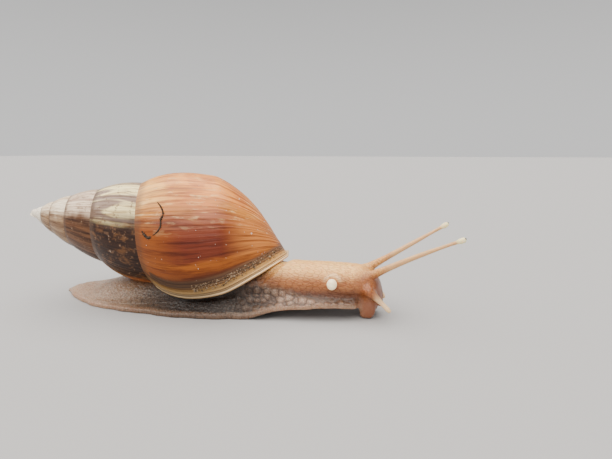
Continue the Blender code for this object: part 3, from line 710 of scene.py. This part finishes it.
def slope_of(field, p, h=0.02):
    """Gradient of a field by central differences."""
    steps = np.eye(3) * h
    return np.stack([(field(p + s) - field(p - s)) / (2 * h) for s in steps], -1)


def unit(v):
    """Vectors brought to length 1."""
    return v / np.linalg.norm(v, axis=-1, keepdims=True)


def net_over(field, low, high, cell):
    """Surface net: one point in each cell that the surface crosses, joined round each crossed edge."""
    axes = [np.arange(a, b, cell) for a, b in zip(low, high)]
    grid = np.stack(np.meshgrid(*axes, indexing="ij"), -1)
    values = field(grid)
    inside = values < 0
    count = [len(a) - 1 for a in axes]
    corners = [(i, j, k) for i in (0, 1) for j in (0, 1) for k in (0, 1)]

    def corner(array, c):
        return array[c[0]:c[0] + count[0], c[1]:c[1] + count[1], c[2]:c[2] + count[2]]

    total = sum(corner(inside, c).astype(np.int8) for c in corners)
    at = np.argwhere((total > 0) & (total < 8))
    sums = np.zeros((len(at), 3))
    hits = np.zeros(len(at))
    for a in corners:
        for axis in range(3):
            if a[axis]:
                continue
            b = tuple(1 if n == axis else v for n, v in enumerate(a))
            fa = values[tuple((at + a).T)]
            fb = values[tuple((at + b).T)]
            cross = (fa < 0) != (fb < 0)
            t = np.where(cross, fa / np.where(cross, fa - fb, 1), 0)
            place = at + np.array(a) + t[:, None] * np.eye(3)[axis]
            sums += place * cross[:, None]
            hits += cross
    points = np.array(low) + sums / hits[:, None] * cell
    number = np.full(count, -1)
    number[tuple(at.T)] = np.arange(len(at))
    quads = []
    for axis in range(3):
        u, v = [(1, 2), (2, 0), (0, 1)][axis]
        ahead = np.roll(inside, -1, axis)
        changed = inside != ahead
        changed[tuple(slice(-1, None) if n == axis else slice(None) for n in range(3))] = False
        e = np.argwhere(changed)
        e = e[(e[:, u] > 0) & (e[:, v] > 0) & (e[:, u] < count[u]) & (e[:, v] < count[v])]
        du, dv = np.eye(3, dtype=int)[u], np.eye(3, dtype=int)[v]
        ring = [number[tuple((e - a * du - b * dv).T)] for a, b in ((1, 1), (0, 1), (0, 0), (1, 0))]
        ring = np.stack(ring, -1)
        flip = ~inside[tuple(e.T)]
        ring[flip] = ring[flip][:, ::-1]
        quads.append(ring)
    return points, np.concatenate(quads)


def settle(field, points, quads, rounds):
    """Even out the net along the surface, then pull every point onto it along the slope."""
    edges = np.concatenate([quads[:, [0, 1]], quads[:, [1, 2]], quads[:, [2, 3]], quads[:, [3, 0]]])
    for _ in range(rounds):
        total = np.zeros_like(points)
        share = np.zeros(len(points))
        for a, b in ((0, 1), (1, 0)):
            for k in range(3):
                total[:, k] += np.bincount(edges[:, a], points[edges[:, b], k], len(points))
            share += np.bincount(edges[:, a], minlength=len(points))
        outward = unit(slope_of(field, points))
        move = (total / share[:, None] - points) * 0.5
        points = points + move - outward * (move * outward).sum(1)[:, None]
        slope = slope_of(field, points)
        points = points - slope * (field(points) / (slope ** 2).sum(1))[:, None]
    return points


def pebbles(p, stretch, size, seed):
    """Nearest and second nearest distance to jittered grid points, in units of the grid."""
    q = p * np.array(stretch) / size
    base = np.floor(q)
    near = np.full(len(p), 9.0)
    second = np.full(len(p), 9.0)
    for i in (-1, 0, 1):
        for j in (-1, 0, 1):
            for k in (-1, 0, 1):
                c = base + (i, j, k)
                code = c @ np.array([127.1, 311.7, 74.7]) + seed
                jitter = np.stack([np.sin(code * m) * 43758.5453 % 1.0 for m in (1.0, 1.37, 1.91)], -1)
                d = np.linalg.norm(c + 0.15 + 0.7 * jitter - q, axis=1)
                second = np.minimum(second, np.maximum(near, d))
                near = np.minimum(near, d)
    return near, second


def skin_zones(p):
    """How much each point belongs to the places where the skin differs, each from 0 to 1."""
    x, y, z = p.T
    lift = sole_lift(x)
    off_middle = y - foot_middle_y(x)
    v = np.abs(off_middle) / np.maximum(foot_half(x), 0.4)
    near, _ = pebbles(p, (0.7, 1.0, 1.0), 1.5, 11.0)

    # Head and feelers.
    ahead = step_up(x, 49.5, 53)
    feeler = step_up(x, 55.6, 59.5) * step_up(z, 9.0, 11.0)
    low_feeler = np.zeros(len(p))
    for start, end in LOWER_FEELERS.values():
        path = bowed(start, end, 0.0, LOWER_POINTS)
        gap = np.min(np.linalg.norm(p[:, None] - path[None], axis=2), axis=1)
        low_feeler = np.maximum(low_feeler, step_up(-gap, -1.7, -0.9) * step_up(x, 54.5, 56.1))
    tip = np.zeros(len(p))
    for _, end, _ in FEELERS.values():
        tip = np.maximum(tip, step_up(-np.linalg.norm(p - np.asarray(end), axis=1), -1.9, -1.2))
    # Painted shade: the front of the face darker.
    face = step_up(x + 0.12 * (z - 8), 55.0, 55.5) * (1 - feeler)
    face = face * step_up(z, 5.0, 5.8) * step_up(10.9 - z, 0, 1.3)
    lobe = step_up(5.2 - z, 0.0, 1.0) * ahead * (1 - low_feeler)

    # Neck and foot: the neck's lower edge, the painted shadow along it, the foot's rim and warty fringe.
    edge = through(x, (8, 16, 22, 30, 38, 45, 51), (9.5, 9.1, 8.7, 7.8, 5.9, 5.2, 4.8))
    edge = edge + 1.3 * (near - 0.45)
    on_neck = step_up(z, edge - 0.7, edge + 0.9) * step_up(x, 10, 20)
    crease_shadow = np.exp(-((z - edge - 0.2) / 0.7) ** 2) * step_up(x, 30, 38) * (1 - ahead)
    # The top of the neck and head: its own cream, painted brighter as light from above.
    top = step_up(z + 0.5 * (near - 0.5) - 0.9 * ahead, 9.6, 12.9) * (1 - feeler) * (1 - 0.35 * ahead)
    # Painted shade: the neck darker on its lower side.
    low = step_up(9.4 - z, 0.0, 3.0)
    rim_top = lift + 1.9 - 0.7 * step_up(x, 24, 36)
    rim = step_up(v, 0.87, 0.95) * step_up(rim_top - z, 0.0, 0.5) * (1 - ahead)
    under = step_up(lift + 0.4 - z, 0.0, 0.3) * (1 - ahead)
    fringe = (1 - on_neck) * (1 - rim) * (1 - ahead) * step_up(x, 12, 24)
    warty = fringe * step_up(x, 14, 24)
    warts, warts_next = pebbles(p, (0.85, 1.0, 0.9), 1.75, 1.0)
    wart = np.clip(1 - (warts / 0.6) ** 2, 0, 1) * warty
    groove = (1 - np.clip((warts_next - warts) / 0.22, 0, 1)) * warty

    # The skin beneath the shell painted dark as shade, less on the rim and on the snail's left side, and
    # the pale fold over the knob.
    shade = through(x, (-40, -26, -15, -5, 5, 15, 21, 27, 33, 51),
                    (0.0, 0.04, 0.3, 0.78, 1.0, 0.98, 0.86, 0.56, 0.0, 0.0)) * (1 - 0.3 * rim)
    shade = shade * (1 - 0.45 * step_up(off_middle, -2.0, 3.0)) * (1 - ahead) * (z < 16)
    ring = np.hypot(x - KNOB_PLACE[0], z - KNOB_PLACE[2])
    fold = np.exp(-((ring - 2.0) / 0.42) ** 2) * step_up(z - KNOB_PLACE[2], 0.0, 1.2) * (y < 0)
    return {"neck": on_neck, "head": ahead, "feeler": feeler, "rim": rim, "under": under, "top": top,
            "fringe": fringe, "low_feeler": low_feeler, "face": face, "lobe": lobe, "low": low,
            "shade": shade, "fold": fold, "wart": wart, "groove": groove, "tip": tip, "crease_shadow": crease_shadow}


def skin_relief(p, zone):
    """Relief in mm: big warts on the fringe, rows of long low warts on the neck, pebbling behind."""
    x, z = p[:, 0], p[:, 2]
    long_near, long_second = pebbles(p, (0.34, 1.0, 1.0), 0.92, 7.0)
    ridge = np.clip((long_second - long_near) / 0.35, 0, 1)
    fine_near, fine_second = pebbles(p, (0.85, 1.0, 1.0), 1.0, 4.0)
    fine = np.clip((fine_second - fine_near) / 0.3, 0, 1)
    behind = (1 - zone["neck"]) * (1 - zone["fringe"] * step_up(x, 14, 24)) * (1 - zone["head"])
    folds = np.sin(x * 4.7 + 2 * np.sin(x * 1.3)) + 0.6 * np.sin(x * 9.1 + 1.7)
    height = 0.30 * zone["wart"] ** 0.7 - 0.16 * zone["groove"]
    height += zone["neck"] * (1 - zone["head"]) * 0.07 * (ridge - 1)
    height += zone["head"] * (1 - zone["face"]) * (1 - zone["lobe"]) * 0.05 * (fine - 1)
    height += behind * (1 - zone["rim"]) * 0.10 * (fine - 1)
    height -= 0.07 * zone["rim"] * (0.8 + 0.5 * folds)
    height += 0.22 * zone["fold"]
    height -= 0.10 * np.exp(-((zone["face"] - 0.4) / 0.25) ** 2) * step_up(z, 5.5, 7.0)
    return height * (1 - np.maximum(np.maximum(zone["feeler"], zone["low_feeler"]), zone["under"]))


def skin_material():
    """Colour by place on the body, with shade painted beneath the shell, along the neck's lower edge, low
    on its side and on the face, and light painted on its top; broken by cells and clouds; wet film over it,
    light soaks in.
    """
    r = Recipe("wet skin")
    at = r.place()
    cloud = r.noise(at, 260.0, 4, 0.6)
    grain = r.noise(at, 1900.0, 3, 0.6)

    def clouded(dark, light):
        """Two colours, clouded into one another."""
        return r.blend(cloud, dark, light)

    fringe = clouded((0.20, 0.11, 0.07), (0.34, 0.22, 0.15))
    fringe = r.lay(fringe, clouded((0.30, 0.19, 0.13), (0.46, 0.33, 0.24)), r.painted("wart"))
    fringe = r.lay(fringe, (0.08, 0.04, 0.025), r.painted("groove"))
    # The neck's side, darker low down as painted shade.
    side = r.lay(clouded((0.34, 0.115, 0.030), (0.53, 0.21, 0.064)),
                 clouded((0.11, 0.034, 0.013), (0.24, 0.085, 0.034)), r.painted("low"))
    colour = clouded((0.275, 0.165, 0.10), (0.50, 0.34, 0.225))
    for zone, look in (("fringe", fringe), ("neck", side),
                       ("head", clouded((0.25, 0.068, 0.015), (0.40, 0.14, 0.037))),
                       # the top: own cream, painted brighter as light from above
                       ("top", clouded((0.98, 0.48, 0.13), (1.0, 0.62, 0.21))),
                       ("lobe", clouded((0.20, 0.062, 0.026), (0.33, 0.13, 0.06))),
                       # the face: darkened as painted shade
                       ("face", clouded((0.155, 0.044, 0.016), (0.26, 0.088, 0.036))),
                       ("rim", clouded((0.30, 0.17, 0.105), (0.49, 0.32, 0.21)))):
        colour = r.lay(colour, look, r.painted(zone))
    # Painted shade: the skin beneath the shell made near black.
    painted_shade = r.blend(1.0, colour, (0.034, 0.019, 0.013), "MULTIPLY")
    colour = r.lay(colour, painted_shade, r.painted("shade"))
    drips = r.smooth(r.noise(at, (2400.0, 2400.0, 170.0), 3, 0.6, 0.3), 0.50, 0.64)
    colour = r.lay(colour, (0.012, 0.007, 0.005), drips, r.painted("shade"), 0.75)
    # Painted shadow where the neck overhangs the foot.
    colour = r.lay(colour, (0.048, 0.022, 0.013), r.painted("crease_shadow"), 0.8)
    low_feeler = r.lay(clouded((0.76, 0.50, 0.28), (0.95, 0.70, 0.40)), (0.36, 0.18, 0.085),
                       r.smooth(r.parts(at)["Z"], 0.0048, 0.0076))
    colour = r.lay(colour, low_feeler, r.painted("low_feeler"))
    colour = r.lay(colour, clouded((0.56, 0.31, 0.13), (0.76, 0.49, 0.23)), r.painted("feeler"))
    colour = r.lay(colour, (1.0, 0.82, 0.46), r.painted("tip"))
    colour = r.lay(colour, (0.98, 0.74, 0.44), r.painted("fold"), 0.6)

    # Dark lines between cells: long cells along the neck, small ones elsewhere, faint on the head.
    long_line = r.smooth(r.cells(at, (560.0, 2000.0, 2000.0), "DISTANCE_TO_EDGE"), 0.0, 0.16)
    small_line = r.smooth(r.cells(at, (1350.0, 1700.0, 1700.0), "DISTANCE_TO_EDGE"), 0.0, 0.16)
    off_head = r.maths("SUBTRACT", 1.0, r.painted("head"))
    lines = r.lay(small_line, long_line, r.painted("neck"), off_head)
    for zone, share in (("feeler", 1.0), ("face", 0.75), ("lobe", 0.7), ("low_feeler", 0.8), ("rim", 0.2)):
        lines = r.lay(lines, 1.0, r.painted(zone), share)
    colour = r.blend(0.85, colour, r.blend(lines, (0.62, 0.49, 0.40), 1.0), "MULTIPLY")
    normal = r.bump(r.maths("MULTIPLY_ADD", grain, 0.25, lines), 0.55, 0.00012)
    r.shader.subsurface_method = "RANDOM_WALK"
    return r.finish(Base_Color=colour, Roughness=r.ramp(grain, (0.3, 0.30), (0.7, 0.46)), Normal=normal,
                    Subsurface_Weight=0.35, Subsurface_Radius=(0.9, 0.45, 0.25), Subsurface_Scale=0.0014,
                    Coat_Weight=r.blend(r.painted("shade"), 0.36, 0.06), Coat_Roughness=0.2,
                    Specular_IOR_Level=0.32)


points, quads = net_over(skin_field, (-40.2, -16.4, -0.6), (77.4, 13.4, 26.4), CELL)
points = settle(skin_field, points, quads, 4)
zones = skin_zones(points)
points = points + unit(slope_of(skin_field, points)) * (skin_relief(points, zones) - 0.02)[:, None]
points[:, 2] = np.maximum(points[:, 2], 0.0)
skin_piece = make_piece("skin", points, quads, skin_material(), zones)
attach(skin_piece, "root")
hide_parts("tail", "foot_middle", "foot_front", "neck", "head", "upper_lip", "mouth",
            "oral_lappet_right", "oral_lappet_left", "lower_feeler_right", "lower_feeler_left",
            "feeler_root_right", "feeler_shaft_right", "feeler_tip_right", "eye_knob_right",
            "feeler_root_left", "feeler_shaft_left", "feeler_tip_left", "eye_knob_left")


# ------------------------------------------------------------------ the mantle collar
# The thick edge of the mantle, which lays down the shell: soft brownish flesh that fills the mouth,
# sits a little inside its edge and swells out of it by about a millimetre, moulded to its outline.

# Its rings: degrees back up the tube, size over that of the mouth's edge, mm pushed out of the mouth.
MOUTH_BULGES = ((9.0, 0.80, 0.0), (6.0, 0.86, 0.0), (3.5, 0.895, 0.0), (1.6, 0.905, 0.0),
                (0.6, 0.895, 0.05), (0.0, 0.84, 0.3), (0.0, 0.74, 0.6), (0.0, 0.62, 0.9),
                (0.0, 0.45, 1.1), (0.0, 0.2, 1.2), (0.0, 0.02, 1.2))


def as_rings(grid):
    """Points and quads of a piece given as rings of points, each ring closed on itself."""
    return grid.reshape(-1, 3), grid_faces(*grid.shape[:2], closed=True)


def grow_collar():
    """Rings of the mouth's outline, drawn in and pushed out along the way it faces, slightly wavy."""
    outline = mouth_outline(0.0, 1.0)
    onward = unit(np.cross(outline, np.roll(outline, -1, axis=0)).sum(0))
    onward = onward * np.sign(onward @ (mouth_outline(math.radians(-5), 1.0).mean(0) - outline.mean(0)))
    angle = np.linspace(0, FULL_TURN, len(outline))[:, None]
    wave = 0.07 * np.sin(angle * 23) + 0.05 * np.sin(angle * 41 + 1.3)
    return as_rings(np.array([mouth_outline(math.radians(back), shrink) + (out + wave * shrink) * onward
                              for back, shrink, out in MOUTH_BULGES]))


def mantle_material():
    """Brownish cream flesh, painted darker as shade inside the mouth, clouded, with fine pores; moist, and
    light soaks in.
    """
    r = Recipe("mantle flesh")
    at = r.place()
    colour = r.blend(r.noise(at, 350.0, 4, 0.6), (0.26, 0.16, 0.095), (0.44, 0.31, 0.20))
    return r.finish(Base_Color=colour, Roughness=0.4, Normal=r.bump(r.cells(at, 1500.0, "F1"), 0.3, 0.0001),
                    Subsurface_Weight=0.3, Subsurface_Radius=(0.9, 0.45, 0.25), Subsurface_Scale=0.0012,
                    Coat_Weight=0.3, Coat_Roughness=0.2)


points, quads = grow_collar()
collar_piece = make_piece("mantle_edge", points, quads, mantle_material())
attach(collar_piece, "root")
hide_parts("mantle_collar")


# ------------------------------------------------------------------ the eyes
# Two small dark eyes, round and moist, each set into the end of an upper feeler's knob.

EYE_RADIUS = 0.26
EYE_AHEAD, EYE_OUTWARD = 0.42, 0.12  # mm from the feeler's end, on along it, and up and outward


def ball(centre, radii, rows, columns, bumps=0.0):
    """A closed ball: rings of latitude about z, scaled to its three half sizes, poles welded, with
    a few low swellings that die out toward the poles."""
    rise = np.linspace(-0.5, 0.5, rows)[:, None] * math.pi
    turn = np.linspace(0, FULL_TURN, columns + 1)[None, :-1]
    swell = bumps * np.sin(turn * 5 + 1.0) * np.cos(rise) + bumps * np.sin(rise * 7 + turn * 2)
    swell = 1 + swell * np.cos(rise) ** 2
    x = radii[0] * np.cos(rise) * np.cos(turn) * swell
    y = radii[1] * np.cos(rise) * np.sin(turn) * swell
    z = radii[2] * np.sin(rise) * swell
    return as_rings(np.stack([x, y, z], -1) + np.asarray(centre))


def eye_material():
    """Near black, clouded with brown, wet."""
    r = Recipe("eye")
    colour = r.blend(r.noise(r.place(), 4000.0, 2, 0.5), (0.012, 0.008, 0.006), (0.05, 0.03, 0.02))
    return r.finish(Base_Color=colour, Roughness=0.18, Coat_Weight=0.6, Coat_Roughness=0.05)


eye_look = eye_material()
for side, (start, end, lift) in FEELERS.items():
    ahead = unit(np.asarray(end) - np.asarray(start) - np.array([0, 0, 4 * lift]))
    outward = np.array([0.0, -0.3 if side == "right" else 0.3, 1.2])
    place = np.asarray(end) + ahead * EYE_AHEAD + outward * EYE_OUTWARD
    points, quads = ball(place, (EYE_RADIUS,) * 3, 16, 24)
    eye_piece = make_piece("eye_" + side, points, quads, eye_look)
    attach(eye_piece, "root")


# ------------------------------------------------------------------ the white knob
# A small swollen pore on the right of the neck, behind the head: milky, moist, almost round, a
# little taller than it is wide, and set in a pale fold of skin.

KNOB_RADII = (1.28, 1.28, 1.42)


def knob_material():
    """Milk white, warmer in its hollows, wet film; light soaks in, and a faint glow of its own
    stands in for what shines through it."""
    r = Recipe("milky knob")
    at = r.place()
    colour = r.blend(r.noise(at, 900.0, 3, 0.5), (0.98, 0.74, 0.42), (1.0, 0.90, 0.68))
    normal = r.bump(r.noise(at, 2500.0, 2, 0.5), 0.15, 0.00008)
    return r.finish(Base_Color=colour, Roughness=0.32, Normal=normal, Subsurface_Weight=0.4,
                    Subsurface_Radius=(0.9, 0.7, 0.5), Subsurface_Scale=0.001, Coat_Weight=0.5,
                    Coat_Roughness=0.15, Emission_Color=(1.0, 0.82, 0.52), Emission_Strength=0.5)


points, quads = ball(KNOB_PLACE, KNOB_RADII, 48, 72, 0.025)
knob_piece = make_piece("white_knob", points, quads, knob_material())
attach(knob_piece, "root")
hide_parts("genital_knob")


# ------------------------------------------------------------------ dirt on the shell
# What the shell has picked up: sand grains stuck along the lip, a few loose specks, and a dried
# dark thread on the shoulder of the last whorl, all glued by slime.

LIP_GRAINS, LOOSE_GRAINS = 620, 34
GRAIN_SIZES = (0.06, 0.5)  # the least radius in mm, and how widely the others spread
THREAD_SIDES = 8
COLUMNS = UPPER_COLUMNS + BASE_COLUMNS - 1
# Routes of the thread over the shell: age in turns, and share of the way across the whorl.
LONG_ROUTE = ((5.752, 0.155), (5.768, 0.185), (5.785, 0.20), (5.798, 0.185), (5.812, 0.185),
              (5.826, 0.165), (5.836, 0.13))
SHORT_ROUTE = ((5.838, 0.125), (5.842, 0.10), (5.836, 0.075), (5.826, 0.055))

last_rows, last_growth = shell_rows(np.linspace(-1, 0, ROWS_PER_TURN + 1) * FULL_TURN, True)
last_outward = np.cross(np.gradient(last_rows, axis=0), np.gradient(last_rows, axis=1))
last_outward /= np.maximum(np.linalg.norm(last_outward, axis=2), 1e-9)[..., None]
halfway = ROWS_PER_TURN // 2, COLUMNS // 2
if last_outward[halfway] @ (last_rows[halfway] - SHELL_APEX) < 0:
    last_outward = -last_outward


def shell_point(turns, across):
    """Points of the last whorl and their outward directions, from their two growth measures."""
    row = (np.asarray(turns) - TURNS + 1) * ROWS_PER_TURN
    column = np.interp(across, last_growth[ROWS_PER_TURN, :, 1], np.arange(COLUMNS))
    i = np.clip(row.astype(int), 0, ROWS_PER_TURN - 1)
    j = np.clip(column.astype(int), 0, COLUMNS - 2)
    s, t = (row - i)[:, None], (column - j)[:, None]
    place = ((last_rows[i, j] * (1 - s) + last_rows[i + 1, j] * s) * (1 - t)
             + (last_rows[i, j + 1] * (1 - s) + last_rows[i + 1, j + 1] * s) * t)
    return place, last_outward[i, j]


def grain_cloud(turns, across, seed):
    """Many tiny squashed balls on the shell at their growth measures, merged in one mesh."""
    rng = np.random.default_rng(seed)
    base, faces = ball((0, 0, 0), (1, 1, 1), 6, 8)
    place, outward = shell_point(turns, across)
    count = len(place)
    least, spread = GRAIN_SIZES
    size = least * np.exp(np.abs(rng.normal(0, 1, count)) * spread)[:, None]
    shape = base[None] * rng.uniform(0.6, 1.3, (count, 1, 3)) * size[:, None]
    shape = shape * (1 + 0.25 * rng.normal(size=(count, len(base), 1)))
    points = (place + outward * size * 0.2)[:, None] + shape
    quads = faces[None] + np.arange(count)[:, None, None] * len(base)
    return points.reshape(-1, 3), quads.reshape(-1, 4)


def grit_material(name, dark, light, seed):
    """Sand: each grain its own shade between two colours, dull."""
    r = Recipe(name)
    shade = r.smooth(r.noise(r.place(), 1600.0 + seed, 2, 0.6), 0.35, 0.65)
    return r.finish(Base_Color=r.blend(shade, dark, light), Roughness=0.75, Specular_IOR_Level=0.15)


def thread(stops, steps, radius, seed):
    """A thin uneven closed tube laid on the shell along a smooth route through a few stops."""
    knots = np.arange(len(stops))
    along = np.linspace(0, len(stops) - 1, steps)
    turns, across = (through(along, knots, measure) for measure in zip(*stops))
    place, outward = shell_point(turns, across)
    points = place + outward * 0.02
    ahead = unit(np.gradient(points, axis=0))
    aside = unit(np.cross(ahead, outward[0]))
    up = np.cross(aside, ahead)
    taper = np.sin(np.linspace(0.0, math.pi, steps)) ** 0.35
    thick = radius * taper * (1 + 0.3 * np.random.default_rng(seed).normal(size=steps))
    angle = np.linspace(0, FULL_TURN, THREAD_SIDES + 1)[:-1, None]
    ring = np.cos(angle) * aside[:, None] + 0.7 * np.sin(angle) * up[:, None]
    return as_rings(points[:, None] + ring * np.maximum(thick, 0.0)[:, None, None])


chance = np.random.default_rng(5)
grain_across = 1 - 0.62 * chance.uniform(0, 1, LIP_GRAINS) ** 0.75 - 0.035
row_step = np.linalg.norm(np.diff(last_rows[-3:], axis=0), axis=2).mean(0)
row_step = np.interp(grain_across, last_growth[-1, :, 1], row_step)
band_depth = (3.2 + 3.2 * chance.uniform(0, 1, LIP_GRAINS)) * (1 - 0.2 * step_up(grain_across, 0.5, 0.88))
grain_turns = TURNS - band_depth / (row_step * ROWS_PER_TURN)
keep = grain_turns > 5.9
points, quads = grain_cloud(grain_turns[keep], grain_across[keep], 6)
grit_look = grit_material("lip grit", (0.03, 0.018, 0.011), (0.46, 0.33, 0.21), 0)
grit_piece = make_piece("lip_grit", points, quads, grit_look)
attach(grit_piece, "root")

speck_turns = chance.uniform(5.62, 5.94, LOOSE_GRAINS)
points, quads = grain_cloud(speck_turns, chance.uniform(0.05, 0.9, LOOSE_GRAINS), 9)
speck_look = grit_material("pale specks", (0.45, 0.34, 0.26), (0.85, 0.75, 0.66), 400)
loose_piece = make_piece("loose_specks", points, quads, speck_look)
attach(loose_piece, "root")

long_part, long_faces = thread(LONG_ROUTE, 70, 0.27, 1)
short_part, short_faces = thread(SHORT_ROUTE, 34, 0.36, 2)
points = np.concatenate([long_part, short_part])
quads = np.concatenate([long_faces, short_faces + len(long_part)])
thread_look = grit_material("dried thread", (0.014, 0.009, 0.006), (0.07, 0.045, 0.03), 90)
thread_piece = make_piece("dried_thread", points, quads, thread_look)
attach(thread_piece, "root")


# ------------------------------------------------------------------ studio
# Not part of the snail: a plain pale floor, a very broad soft light almost overhead, a weak fill
# from the front, a pale surround that dims upward, and the camera.

FLOOR_REACH = 3.0  # m from the middle to each edge
# Lamps: degrees of tilt about x and y, of spread, strength and colour.
LAMPS = {"overcast sky": (8, -12, 100, 7.8, (1.0, 0.945, 0.87)),
         "front fill": (62, 24, 50, 0.35, (1.0, 0.97, 0.94))}
SURROUND = (("From Min", 0.0), ("From Max", 0.9), ("To Min", 0.90), ("To Max", 0.10))
LENS_MM = 27.06
CAMERA_PLACE = (0.0707, -0.1137, 0.043)
CAMERA_DIP, CAMERA_TURN = math.radians(9.80), math.atan2(0.2874, 0.9578)

floor_mesh = bpy.data.meshes.new("floor")
corners = [(x * FLOOR_REACH, y * FLOOR_REACH, 0) for x, y in ((-1, -1), (1, -1), (1, 1), (-1, 1))]
floor_mesh.from_pydata(corners, [], [(0, 1, 2, 3)])
floor_look = Recipe("studio floor").finish(Base_Color=(0.39, 0.39, 0.40), Roughness=0.95)
floor_mesh.materials.append(floor_look)
floor = bpy.data.objects.new("floor", floor_mesh)
bpy.context.scene.collection.objects.link(floor)
for name, (tilt_x, tilt_y, spread, power, colour) in LAMPS.items():
    lamp = bpy.data.lights.new(name, "SUN")
    lamp.angle = math.radians(spread)
    lamp.energy = power
    lamp.color = colour
    holder = bpy.data.objects.new(name, lamp)
    holder.rotation_euler = (math.radians(tilt_x), math.radians(tilt_y), 0.0)
    holder.location = (0.0, 0.0, 0.6)
    bpy.context.scene.collection.objects.link(holder)
world = bpy.data.worlds.new("studio")
world.use_nodes = True
sky = world.node_tree.nodes
link = world.node_tree.links
place = sky.new("ShaderNodeTexCoord")
split = sky.new("ShaderNodeSeparateXYZ")
fade = sky.new("ShaderNodeMapRange")
fade.interpolation_type = "SMOOTHSTEP"
for label, value in SURROUND:
    fade.inputs[label].default_value = value
link.new(place.outputs["Generated"], split.inputs[0])
link.new(split.outputs["Z"], fade.inputs["Value"])
link.new(fade.outputs["Result"], sky["Background"].inputs["Strength"])
sky["Background"].inputs["Color"].default_value = (0.92, 0.91, 0.90, 1)
bpy.context.scene.world = world
lens = bpy.data.cameras.new("camera")
lens.sensor_width = 36.0
lens.lens = LENS_MM
lens.clip_start = 0.005
camera = bpy.data.objects.new("camera", lens)
camera.location = CAMERA_PLACE
camera.rotation_euler = (math.pi / 2 - CAMERA_DIP, 0.0, CAMERA_TURN)
bpy.context.scene.collection.objects.link(camera)
bpy.context.scene.camera = camera
